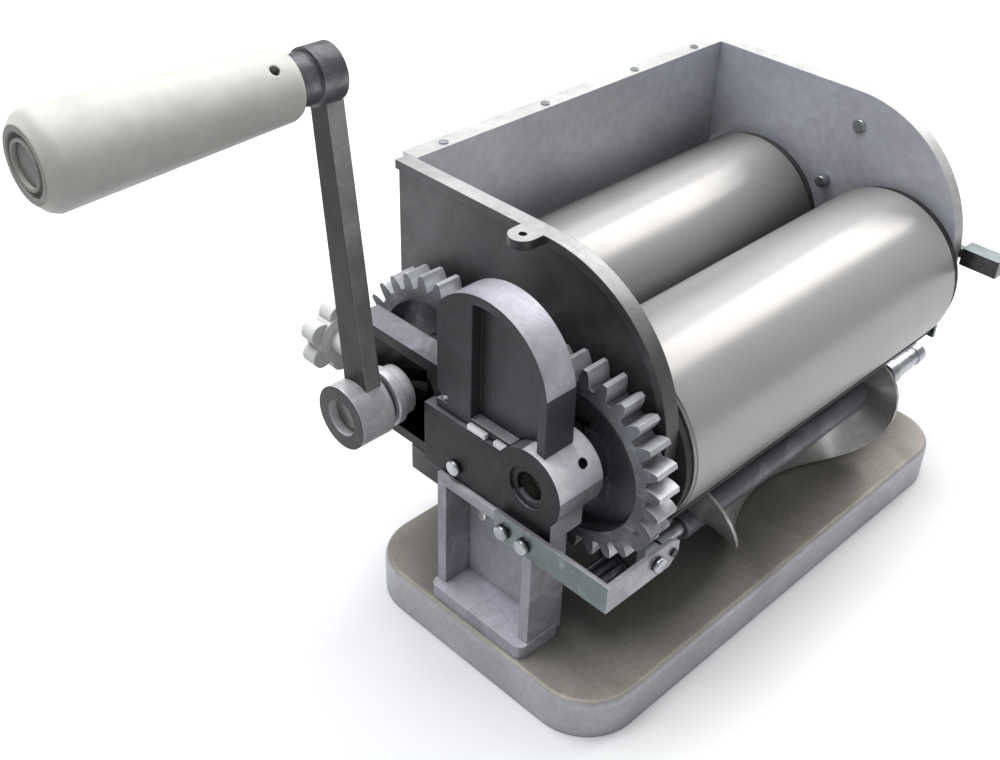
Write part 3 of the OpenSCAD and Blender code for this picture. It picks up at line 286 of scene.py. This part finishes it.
# Every finish, by its short name
FINISH = {
    # Copies of one casting, lit and shaded: painted shade on the sides, painted light on the fronts and more
    # on the tops, and a lighter copy on the near pedestal's recessed crank side
    "cast": casting("casting_side_shaded", level=0.14),
    "cast_front": casting("casting_front_lit", level=0.32),
    "cast_top": casting("casting_top_lit", level=0.7, rough=(0.34, 0.48), lift=1.25),
    "recess": casting("casting_recess_lit", level=0.46, metallic=0.15, corner_shade=0.3, lift=1.5),
    # The bearing head's face in painted shade, its top lighter as painted light, and its boss pale on top as
    # a painted highlight, as are the raised pads
    "head": casting("bearing_head_face_shaded", level=0.02, lift=2.4),
    "head_top": casting("bearing_head_top_lit", level=0.2, lift=2.2),
    "boss": casting(
        "bearing_boss_lit", level=0.92, rough=(0.3, 0.44), metallic=0.2, corner_shade=0.3, spot=0.35, lift=0.7),
    # The guard's web in painted shade and its arch painted lit on top
    "web": casting("guard_web_shaded", level=0.052, smudge=18, lift=1.7),
    "arch": casting("guard_arch_lit", level=0.42, rough=(0.32, 0.46), smudge=18, lift=1.3),
    "arch_low": casting("guard_arch_shade", level=0.06, smudge=18),
    "ground": casting("casting_ground", level=0.2, smudge=14),
    # The crank arm in painted shade on its sides and eye, painted light on its front and top, and a turned
    # hub painted lit, its crank-side face in painted shade
    "crank": casting("crank_side_shaded", level=0.018, tint=(1.0, 0.97, 0.98), lift=1.7),
    "crank_front": casting("crank_front_lit", level=0.34, tint=(1.0, 0.97, 0.98), lift=1.3),
    "eye": casting(
        "crank_eye_shaded", level=0.14, rough=(0.26, 0.38), metallic=0.6, tint=(1.0, 1.0, 1.08), lift=2.4),
    "hub": casting("crank_hub_turned_lit", level=0.85, rough=(0.28, 0.4), tint=(1.0, 1.0, 1.03), lift=0.6),
    "hub_face": casting("crank_hub_face_shaded", level=0.03, rough=(0.3, 0.42), lift=1.7),
    "hopper": metal(
        "hopper_inner_skin", low=(0.5, 0.505, 0.55), high=(0.66, 0.665, 0.72), rough=(0.36, 0.52),
        grain=200, bump=0.08, smudge=11, streak=(40, (1, 30, 4), 0.35), corner_shade=0.25, metallic=0.45,
        shade_reach=0.03, patina=(24, (0.76, 0.77, 0.81), 0.35)),
    "far_inner": metal(
        "far_cheek_inner_skin", low=(0.56, 0.565, 0.63), high=(0.72, 0.73, 0.8), rough=(0.36, 0.52),
        grain=200, bump=0.08, smudge=11, streak=(40, (1, 4, 30), 0.35), corner_shade=0.25, metallic=0.35,
        shade_reach=0.03, patina=(24, (0.82, 0.83, 0.88), 0.35)),
    # The cheeks' outsides in painted shade; the near cheek's ground rim is a darker copy of the other rim,
    # painted shade, and both rims go darker towards the bottom
    "cheek": metal(
        "cheek_outside_shaded", low=(0.06, 0.057, 0.063), high=(0.115, 0.11, 0.117), rough=(0.36, 0.52),
        smudge=12, corner_shade=0.35, metallic=0.5, shade_reach=0.01, patina=(18, (0.17, 0.16, 0.17), 0.4)),
    "rim_near": metal(
        "rim_ground_shaded", low=(0.38, 0.38, 0.38), high=(0.54, 0.54, 0.54), rough=(0.42, 0.56), soft=0.0008,
        smudge=26, metallic=0.5, patina=(60, (0.24, 0.24, 0.24), 0.5),
        fade=(0.15, 0.193, (0.08, 0.078, 0.076))),
    "rim": metal(
        "rim_bright", low=(0.5, 0.505, 0.49), high=(0.66, 0.665, 0.65), rough=(0.46, 0.6), bump=0.12,
        soft=0.0008, smudge=20, metallic=0.5, patina=(90, (0.38, 0.38, 0.38), 0.5),
        fade=(0.1, 0.17, (0.3, 0.3, 0.295))),
    # The base plate's top, with its corner shade reaching 8 cm, takes a painted shadow under the machine
    "base": metal(
        "base_plate_top", low=(0.29, 0.272, 0.24), high=(0.43, 0.405, 0.36), rough=(0.46, 0.62),
        grain=500, pits=0.12, bump=0.3, soft=0.0012, smudge=18, corner_shade=0.55, metallic=0.35, shade_reach=0.08,
        patina=(12, (0.47, 0.43, 0.385), 0.5)),
    "base_side": metal(
        "base_plate_side", low=(0.36, 0.365, 0.39), high=(0.52, 0.525, 0.555), rough=(0.42, 0.56),
        grain=400, pits=0.12, bump=0.25, soft=0.0012, smudge=16, corner_shade=0.2, metallic=0.6),
    # The rollers, with their corner shade reaching 12 cm, take painted shade on their undersides from the
    # base plate below
    "roller": metal(
        "roller_turned", low=(0.38, 0.37, 0.36), high=(0.46, 0.45, 0.44), rough=(0.3, 0.38), grain=700,
        bump=0.01, soft=0.0005, smudge=5, aniso=0.75, streak=(90, (40, 1, 1), 0.16), corner_shade=0.75,
        metallic=0.42, shade_reach=0.12, speck=(0.985, 1.01), spec=DULL_SPEC),
    "gear": metal(
        "gear_casting", low=(0.12, 0.12, 0.14), high=(0.22, 0.225, 0.25), rough=(0.34, 0.48), grain=350,
        pits=0.15, bump=0.25, soft=0.0004, smudge=30, corner_shade=0.6, metallic=0.7, shade_reach=0.006,
        patina=(70, (0.42, 0.42, 0.45), 0.5)),
    # The front gear's teeth, a darker copy of the rear gear's tooth finish: painted shade
    "tooth_low": metal(
        "gear_tooth_front_shaded", low=(0.36, 0.365, 0.385), high=(0.58, 0.585, 0.61), rough=(0.34, 0.46),
        grain=350, pits=0.1, bump=0.2, soft=0.0004, smudge=60, corner_shade=0.45, metallic=0.5, shade_reach=0.004),
    "tooth": metal(
        "gear_tooth_worn", low=(0.66, 0.67, 0.7), high=(0.9, 0.91, 0.93), rough=(0.32, 0.44), grain=350,
        pits=0.1, bump=0.2, soft=0.0004, smudge=60, corner_shade=0.35, metallic=0.55, shade_reach=0.003),
    "steel": metal(
        "steel_bright", low=(0.5, 0.5, 0.51), high=(0.64, 0.64, 0.65), rough=(0.22, 0.34), grain=400,
        bump=0.08, soft=0.0004, smudge=40, corner_shade=0.5),
    "screw": metal(
        "screw_head_worn", low=(0.26, 0.27, 0.29), high=(0.48, 0.49, 0.52), rough=(0.28, 0.4), grain=400,
        bump=0.12, soft=0.0004, smudge=90, corner_shade=0.5),
    "gunmetal": metal(
        "cutter_sheet", low=(0.38, 0.365, 0.355), high=(0.56, 0.54, 0.52), rough=(0.3, 0.44), bump=0.12,
        soft=0.0, smudge=26, metallic=0.7),
    "dark": metal(
        "steel_dark", low=(0.045, 0.045, 0.048), high=(0.1, 0.1, 0.103), rough=(0.35, 0.5), pits=0.1,
        soft=0.0004, smudge=40, corner_shade=0.4),
    # The strap's front and top, a lighter copy of its zinc plating: painted light
    "strap_front": metal(
        "zinc_plating_lit", low=(0.26, 0.26, 0.28), high=(0.44, 0.44, 0.47), rough=(0.28, 0.4),
        grain=260, bump=0.12, soft=0.0004, smudge=30, corner_shade=0.4, metallic=0.6,
        patina=(60, (0.62, 0.62, 0.66), 0.4)),
    "ring": casting("turned_ring_bright", level=0.8, rough=(0.25, 0.36), lift=0.75),
    "bolt": metal(
        "square_bolt_black", low=(0.11, 0.113, 0.115), high=(0.21, 0.215, 0.218), rough=(0.3, 0.42),
        pits=0.1, soft=0.0004, smudge=40, corner_shade=0.3, patina=(60, (0.3, 0.31, 0.31), 0.4)),
    "zinc": metal(
        "zinc_plating", low=(0.12, 0.145, 0.15), high=(0.21, 0.24, 0.24), rough=(0.26, 0.38), grain=260,
        bump=0.1, soft=0.0004, smudge=22, corner_shade=0.4, patina=(50, (0.42, 0.46, 0.45), 0.4)),
    "brass": metal(
        "bush_bronze", low=(0.11, 0.1, 0.085), high=(0.19, 0.175, 0.15), rough=(0.3, 0.42), bump=0.1,
        soft=0.0003, smudge=40, corner_shade=0.4),
    "grip": plastic(
        "grip_smooth", low=(0.54, 0.54, 0.5), high=(0.68, 0.68, 0.635), rough=(0.36, 0.5), grain=160,
        bump=0.08, soft=0.001, smudge=20, corner_shade=0.4),
    # The grip's end face and its cap, darker copies of the grip's plastic: painted shade
    "grip_end": plastic(
        "grip_end_face_shaded", low=(0.22, 0.215, 0.2), high=(0.34, 0.335, 0.315), rough=(0.4, 0.55), grain=160,
        bump=0.08, soft=0.001, smudge=20, corner_shade=0.4),
    "cap": plastic(
        "grip_cap_shaded", low=(0.13, 0.125, 0.115), high=(0.24, 0.235, 0.22), rough=(0.4, 0.55),
        grain=160, bump=0.08, soft=0.001, smudge=60, corner_shade=0.4),
    "knob": plastic(
        "knob_moulded", low=(0.68, 0.69, 0.67), high=(0.82, 0.83, 0.81), grain=200, bump=0.06,
        soft=0.0012, corner_shade=0.4),
    "seal": plastic(
        "seal_black", low=(0.02, 0.02, 0.02), high=(0.05, 0.05, 0.05), rough=(0.5, 0.7), grain=300,
        bump=0.1, soft=0.0004, smudge=30),
}

# The finish of each piece, before SKIN gives some of its faces another
LOOK = {
    "base_plate": "base", "foot_screws": "dark", "near_pedestal": "cast", "far_pedestal": "cast",
    "bearing_head": "head", "raised_pads": "boss", "head_screws": "screw", "gear_guard": "web",
    "guard_bolts": "screw", "spacer_pillars": "steel", "near_cheek": "cheek", "far_cheek": "cheek",
    "back_wall": "hopper", "rim_screws": "screw", "wall_screw": "screw", "nip_studs": "screw",
    "far_bearing_plate": "cast", "plate_screws": "screw", "cheek_bushes": "brass", "head_bush": "brass",
    "boss_set_screw": "dark", "near_block": "dark", "far_block": "dark", "crank_bush": "ring",
    "near_seals": "seal", "far_seals": "seal", "front_roller": "roller", "rear_roller": "roller",
    "front_shaft": "steel", "crank_shaft": "bolt", "front_gear": "gear", "rear_gear": "gear",
    "front_gear_pin": "dark", "rear_gear_pin": "dark", "crank_arm": "crank", "crank_pin": "dark",
    "grip_spindle": "steel", "grip": "grip", "grip_cap": "cap", "adjust_screw": "steel",
    "adjust_knob": "knob", "far_adjust_bolt": "bolt", "cutter_band": "gunmetal", "cutter_tube": "ground",
    "cutter_shaft": "screw", "cutter_collar": "gear", "cutter_nut": "screw", "cutter_bushes": "brass",
    "strap": "zinc", "strap_screws": "screw", "arm_screw": "screw", "stripping_wire": "dark",
    "wire_post": "zinc", "side_tab": "dark", "tab_screw": "screw", "rear_scraper": "steel",
    "scraper_bar": "ground",
}


def wear(obj, material):
    """Give the object one material."""
    obj.data.materials.clear()
    obj.data.materials.append(material)


for n, o in nodes.items():
    wear(o, FINISH[LOOK[n]])


# Pieces

# Steeper edges than this stay sharp under smooth shading, in degrees
SHARP_EDGE = 38
# Weight of the large faces in the normals of a smooth piece, where 50 is neutral
FLAT_WEIGHT = 60


def add_object(name, mesh, body, material):
    """A visible piece that rides on a body of the frame."""
    o = bpy.data.objects.new(name, mesh)
    bpy.context.scene.collection.objects.link(o)
    wear(o, material)
    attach(o, body)
    return o


def settle(obj, angle=SHARP_EDGE):
    """Smooth shading that keeps flat faces flat."""
    for p in obj.data.polygons:
        p.use_smooth = True
    obj.data.set_sharp_from_angle(angle=math.radians(angle))
    w = obj.modifiers.new("faces", "WEIGHTED_NORMAL")
    w.keep_sharp = True
    w.weight = FLAT_WEIGHT


# Faces that were ground or show wear, and faces in lit or shaded copies of a finish as painted light and
# painted shade, picked by their centre c and their unit normal n

# Share of its normal that a face needs along a direction to count as facing it
NEARLY, FULLY, CLEARLY, MOSTLY, HALFWAY = 0.9, 0.8, 0.7, 0.6, 0.5
# Share upward that makes a face part of the upper side, on the guard's arch and on the boss
ARCH_TOP, BOSS_TOP = 0.15, 0.1
# Share of the normal along X below which a face is the cheek's edge
CHEEK_EDGE = 0.72
# Share of the normal outward from the arc's centre that makes the rim of its round front
ROUND_RIM = 0.75
# Centre of the hopper cheeks' round front, as y and z
CHEEK_ARC = (0.0115, 0.120)
# Height above which the cheek's round front has its ground rim
RIM_Z = 0.09
# Axes of both rollers, as y and z
FRONT_AXIS = (-0.021, 0.106)
REAR_AXIS = (0.060, 0.106)
# Radius just outside the root circle of the gears: the faces beyond it are their teeth
GEAR_ROOT = 0.0372
# Radius within which the crank arm counts as its hub
HUB_REACH = 0.01512
# Height from which the crank arm counts as its eye
EYE_Z = 0.2395
# Faces of the front boss that are closer to its axis than this are its bore
BOSS_BORE_R = 0.0125
# How far behind its axis the turned outside of the boss goes
BOSS_BACK = 0.004
# Stands in for a distance from an axis that is nought
LEAST_R = 1e-9


def outward(c, axis):
    """Distance from an axis along X, and the unit vector away from it."""
    dy, dz = c.y - axis[0], c.z - axis[1]
    r = math.hypot(dy, dz) or LEAST_R
    return r, dy / r, dz / r


def cheek_skin(inner, inside, rim):
    """A cheek with a ground rim and its own finish on the side towards the hopper."""
    def pick(c, n):
        _, oy, oz = outward(c, CHEEK_ARC)
        on_arc = c.z > RIM_Z and c.y < CHEEK_ARC[0] and n.y * oy + n.z * oz > ROUND_RIM
        if abs(n.x) < CHEEK_EDGE and (n.z > NEARLY or on_arc):
            return rim
        return inside if n.x * inner > HALFWAY else None
    return pick


def gear_skin(axis, look):
    """A gear whose teeth have a bright finish of their own from wear, a darker copy on the front gear as
    painted shade.
    """
    def pick(c, n):
        return look if outward(c, axis)[0] > GEAR_ROOT and abs(n.x) < FULLY else None
    return pick


def by_side(top, front, outer=None):
    """Lit and shaded copies of a finish, painted light and painted shade: one each for the tops, the front
    and the crank side.
    """
    def pick(c, n):
        if n.z > MOSTLY:
            return top
        if n.y < -MOSTLY:
            return front
        return outer if n.x < -CLEARLY else None
    return pick


def crank_skin(c, n):
    """The crank arm in painted shade, with a turned hub painted lit but shaded on its crank-side face, an eye
    in painted shade and a front painted lit.
    """
    if outward(c, REAR_AXIS)[0] < HUB_REACH:
        return "hub_face" if n.x < -CLEARLY else "hub"
    if c.z > EYE_Z:
        return "eye"
    return "crank_front" if n.y < -HALFWAY or n.z > HALFWAY else None


def head_skin(c, n):
    """The bearing head with the turned outside of its boss, a painted highlight on its upper side and painted
    light on the rest, and a top painted lighter as light.
    """
    r, oy, oz = outward(c, FRONT_AXIS)
    outside = r > BOSS_BORE_R and n.y * oy + n.z * oz > HALFWAY
    if outside and abs(n.x) < FULLY and c.y < FRONT_AXIS[0] + BOSS_BACK:
        return "boss" if n.z > BOSS_TOP else "cast_front"
    return "head_top" if n.z > MOSTLY else None


def guard_skin(c, n):
    """The guard with its arch painted lit on top and in painted shade where it faces the front; its crank
    side keeps the web's painted shade.
    """
    if n.x < -CLEARLY:
        return None
    if n.z > ARCH_TOP:
        return "arch"
    return "arch_low" if n.y < -HALFWAY else None


SKIN = {
    "near_cheek": cheek_skin(1, "hopper", "rim_near"), "far_cheek": cheek_skin(-1, "far_inner", "rim"),
    "back_wall": lambda c, n: "rim" if n.z > MOSTLY else None,
    "front_gear": gear_skin(FRONT_AXIS, "tooth_low"), "rear_gear": gear_skin(REAR_AXIS, "tooth"),
    "crank_arm": crank_skin, "bearing_head": head_skin, "gear_guard": guard_skin,
    "near_pedestal": by_side("cast_top", "cast_front", "recess"),
    "far_pedestal": by_side("cast_top", "cast_front"),
    "far_bearing_plate": by_side("cast_top", "cast_front"),
    "strap": lambda c, n: "strap_front" if n.y < -MOSTLY or n.z > MOSTLY else None,
    "grip": lambda c, n: "grip_end" if n.x < -NEARLY else None,
    "base_plate": lambda c, n: None if n.z > FULLY else "base_side",
    # The far adjusting bolt's top, in the paler zinc finish, is painted light
    "far_adjust_bolt": lambda c, n: "zinc" if n.z > HALFWAY else None,
}


def dress(obj, node):
    """Give the faces that SKIN names a finish of their own."""
    pick = SKIN.get(node)
    if pick is None:
        return
    slots = {LOOK[node]: 0}
    for p in obj.data.polygons:
        look = pick(p.center, p.normal)
        if look is None:
            continue
        if look not in slots:
            slots[look] = len(obj.data.materials)
            obj.data.materials.append(FINISH[look])
        p.material_index = slots[look]


def prism(outline, x0, x1):
    """A closed solid between two planes of x over an outline of (y, z) points."""
    n = len(outline)
    verts = [(x, y, z) for x in (x0, x1) for y, z in outline]
    sides = [(i, (i + 1) % n, n + (i + 1) % n, n + i) for i in range(n)]
    mesh = bpy.data.meshes.new("prism")
    mesh.from_pydata(verts, [], [tuple(range(n))[::-1], tuple(range(n, 2 * n))] + sides)
    bm = bmesh.new()
    bm.from_mesh(mesh)
    bmesh.ops.recalc_face_normals(bm, faces=bm.faces)
    bm.to_mesh(mesh)
    bm.free()
    return mesh


def union(mesh, extras):
    """One mesh made of a closed mesh and other closed meshes."""
    base = bpy.data.objects.new("union_base", mesh.copy())
    bpy.context.scene.collection.objects.link(base)
    made = [base]
    for extra in extras:
        o = bpy.data.objects.new("union_extra", extra)
        bpy.context.scene.collection.objects.link(o)
        made.append(o)
        m = base.modifiers.new("join", "BOOLEAN")
        m.operation = "UNION"
        m.solver = "EXACT"
        m.object = o
    bpy.context.view_layer.update()
    whole = bpy.data.meshes.new_from_object(base.evaluated_get(bpy.context.evaluated_depsgraph_get()))
    for o in made:
        bpy.data.objects.remove(o)
    return whole


# The guard's arch, as y, z and radius
GUARD_ARCH = (0.0055, 0.1435, 0.0325)
# The flat band along the guard's rear side, as (y from, y to, z from, x from, x to) of its two steps
REAR_BAND = (
    (0.0124, 0.0255, 0.1155, -0.126, -0.117),
    (0.0215, 0.0315, 0.1228, -0.126, -0.1105),
)
ARCH_STEPS = 8


def under_arch(y0, y1, z0):
    """An outline from z0 up to the guard's arch, between two values of y."""
    arch_y, arch_z, arch_r = GUARD_ARCH
    ys = [y1 - (y1 - y0) * i / ARCH_STEPS for i in range(ARCH_STEPS + 1)]
    return [(y0, z0), (y1, z0)] + [(y, arch_z + math.sqrt(arch_r ** 2 - (y - arch_y) ** 2)) for y in ys]


def rear_band():
    """The steps of the flat band along the guard's rear side, each a closed mesh."""
    return [prism(under_arch(y0, y1, z0), x0, x1) for y0, y1, z0, x0, x1 in REAR_BAND]


# Vertices closer together than this are one
WELD = 2e-6
# Faces that differ by less than this lie in one plane, in degrees
SAME_PLANE = 0.6
# Steeper edges than this are rolled over, in degrees
ROLLED_EDGE = 32
# Up to this radius an edge is rolled over in two steps, and above it in three
FINE_EDGE = 0.0006


def softened(node, width):
    """A copy of a CAD node, the guard's with its rear band, whose sharp edges are rolled over."""
    bm = bmesh.new()
    bm.from_mesh(union(nodes[node].data, rear_band()) if node == "gear_guard" else nodes[node].data)
    bmesh.ops.remove_doubles(bm, verts=bm.verts, dist=WELD)
    bmesh.ops.dissolve_limit(bm, angle_limit=math.radians(SAME_PLANE), verts=bm.verts, edges=bm.edges)
    steep = math.radians(ROLLED_EDGE)
    edges = [e for e in bm.edges if len(e.link_faces) == 2 and e.calc_face_angle(0) > steep]
    bmesh.ops.bevel(bm, geom=edges, offset=width, offset_type="OFFSET", profile=0.5, affect="EDGES",
                    segments=3 if width > FINE_EDGE else 2, clamp_overlap=True,
                    miter_outer="ARC", miter_inner="SHARP")
    bmesh.ops.triangulate(bm, faces=[f for f in bm.faces if len(f.verts) > 4])
    mesh = bpy.data.meshes.new(node + "_soft")
    bm.to_mesh(mesh)
    bm.free()
    o = add_object(node + "_soft", mesh, node_body[node], FINISH[LOOK[node]])
    dress(o, node)
    settle(o)
    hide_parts(node)


# Radius of the rolled over edges of each piece
EDGE_R = {
    "base_plate": 0.0012, "near_pedestal": 0.0011, "far_pedestal": 0.0011, "bearing_head": 0.0011,
    "gear_guard": 0.0009, "near_cheek": 0.0007, "far_cheek": 0.0007, "back_wall": 0.0007, "crank_arm": 0.0009,
    "far_bearing_plate": 0.0009, "raised_pads": 0.0006, "strap": 0.00035, "side_tab": 0.0003,
    "wire_post": 0.0003, "front_gear": 0.00035, "rear_gear": 0.00035,
    "adjust_knob": 0.0015, "far_adjust_bolt": 0.0007, "grip": 0.0006, "crank_bush": 0.0006,
    "near_block": 0.0006, "cutter_tube": 0.0005, "scraper_bar": 0.0008, "cutter_nut": 0.0005,
    "spacer_pillars": 0.0004, "nip_studs": 0.0008, "cutter_collar": 0.0003, "front_roller": 0.0006,
    "rear_roller": 0.0006, "strap_screws": 0.0012, "head_screws": 0.0012, "plate_screws": 0.0012,
    "arm_screw": 0.0012, "tab_screw": 0.0010, "wall_screw": 0.0006, "guard_bolts": 0.0006,
}
for n, w in EDGE_R.items():
    softened(n, w)


# Facets of a rolled sheet that differ by less than this are one curved face, in degrees
ROLLED_SHEET = 50


def smoothed(node, angle):
    """A copy of a CAD node whose small facets are shaded as one curved sheet."""
    bm = bmesh.new()
    bm.from_mesh(nodes[node].data)
    bmesh.ops.remove_doubles(bm, verts=bm.verts, dist=WELD)
    mesh = bpy.data.meshes.new(node + "_smooth")
    bm.to_mesh(mesh)
    bm.free()
    o = add_object(node + "_smooth", mesh, node_body[node], FINISH[LOOK[node]])
    settle(o, angle)
    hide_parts(node)


smoothed("cutter_band", ROLLED_SHEET)


# Stage, light, camera

# Half the side of the square floor
FLOOR_HALF = 6.0
# Greys between which the floor that the camera sees goes, and the grey that lights the part from below
FLOOR_SEEN = (0.86, 0.89)
FLOOR_DIM = 0.3
# Waves of the floor's mottling per metre, the levels between which it goes, its roughness and mirror share
FLOOR_WAVES, FLOOR_SPAN, FLOOR_ROUGH, FLOOR_SPEC = 3.0, (0.3, 0.7), 0.9, 0.1
# The sky's colour and strength
SKY = (0.95, 0.97, 1.0)
SKY_STRENGTH = 0.45
# Every lamp points at this place on the part
LAMP_TARGET = (0, 0, 0.1)
# Name, place, side of its square, power in watts and colour of each lamp
LAMPS = (
    ("key", (3.1, 0.2, 2.6), 1.9, 72, (1, 0.99, 0.975)),
    ("top", (1.6, 1.7, 2.9), 2.2, 30, (0.98, 0.985, 1)),
    ("overhead", (-0.4, 0.9, 3.4), 2.4, 120, (0.98, 0.985, 1)),
)
# The camera that was fitted to the photograph: place, angles in degrees, lens in millimetres, shift
CAMERA_PLACE = (-0.3973, -0.2693, 0.4179)
CAMERA_YAW, CAMERA_PITCH, CAMERA_ROLL = -47.2, 35.8, 2.8
CAMERA_LENS, CAMERA_SENSOR = 45.8, 36
CAMERA_SHIFT = (-0.0301, 0.0055)
# The camera sees what lies between these distances
CAMERA_REACH = (0.01, 50)


def floor_material():
    """Pale to the camera and in mirror images, and dim in the soft light that it throws back at the part."""
    net = Net("floor_pale")
    tone = net.ramp(net.noise(FLOOR_WAVES, detail=3), "Fac", list(zip(FLOOR_SPAN, FLOOR_SEEN)))
    net.link(tone, "Color", net.bsdf, "Base Color")
    net.bsdf.inputs["Roughness"].default_value = FLOOR_ROUGH
    net.bsdf.inputs["Specular IOR Level"].default_value = FLOOR_SPEC
    dim = net.add("ShaderNodeBsdfDiffuse")
    dim.inputs["Color"].default_value = (FLOOR_DIM, FLOOR_DIM, FLOOR_DIM, 1)
    path = net.add("ShaderNodeLightPath")
    seen = net.larger((path, "Is Camera Ray"), (path, "Is Glossy Ray"))
    seen = net.larger(seen, (path, "Is Transmission Ray"))
    pick = net.add("ShaderNodeMixShader")
    for socket, (node, out) in enumerate((seen, (dim, 0), (net.bsdf, 0))):
        net.tree.links.new(node.outputs[out], pick.inputs[socket])
    net.link(pick, "Shader", net.out, "Surface")
    return net.mat


def ground():
    """The floor, which is no piece of the part."""
    mesh = bpy.data.meshes.new("floor")
    h = FLOOR_HALF
    mesh.from_pydata([(-h, -h, 0), (h, -h, 0), (h, h, 0), (-h, h, 0)], [], [(0, 1, 2, 3)])
    o = bpy.data.objects.new("floor", mesh)
    bpy.context.scene.collection.objects.link(o)
    wear(o, floor_material())


def lamp(name, place, side, power, colour):
    """A square soft light."""
    data = bpy.data.lights.new(name, "AREA")
    data.energy = power
    data.color = colour
    data.shape = "SQUARE"
    data.size = side
    o = bpy.data.objects.new(name, data)
    bpy.context.scene.collection.objects.link(o)
    o.location = place
    o.rotation_euler = (Vector(LAMP_TARGET) - Vector(place)).to_track_quat("-Z", "Y").to_euler()


def sky():
    """An even light from all sides."""
    world = bpy.data.worlds.new("studio")
    bpy.context.scene.world = world
    world.use_nodes = True
    background = world.node_tree.nodes["Background"]
    background.inputs["Color"].default_value = (*SKY, 1)
    background.inputs["Strength"].default_value = SKY_STRENGTH


def camera():
    """The photograph's camera: turned by yaw and pitch, then rolled round its own line of sight."""
    data = bpy.data.cameras.new("view")
    cam = bpy.data.objects.new("view", data)
    bpy.context.scene.collection.objects.link(cam)
    yaw, pitch, roll = (math.radians(a) for a in (CAMERA_YAW, CAMERA_PITCH, CAMERA_ROLL))
    level = math.cos(pitch)
    back = Vector((math.sin(yaw) * level, -math.cos(yaw) * level, math.sin(pitch)))
    right = (-back).cross(Vector((0, 0, 1))).normalized()
    up = right.cross(-back)
    rolled_right = right * math.cos(roll) + up * math.sin(roll)
    rolled_up = up * math.cos(roll) - right * math.sin(roll)
    turn = Matrix((rolled_right, rolled_up, back)).transposed()
    cam.matrix_world = Matrix.Translation(CAMERA_PLACE) @ turn.to_4x4()
    data.sensor_width = CAMERA_SENSOR
    data.lens = CAMERA_LENS
    data.shift_x, data.shift_y = CAMERA_SHIFT
    data.clip_start, data.clip_end = CAMERA_REACH
    bpy.context.scene.camera = cam


ground()
sky()
camera()
for lamp_facts in LAMPS:
    lamp(*lamp_facts)
bpy.context.scene.view_settings.view_transform = "Standard"
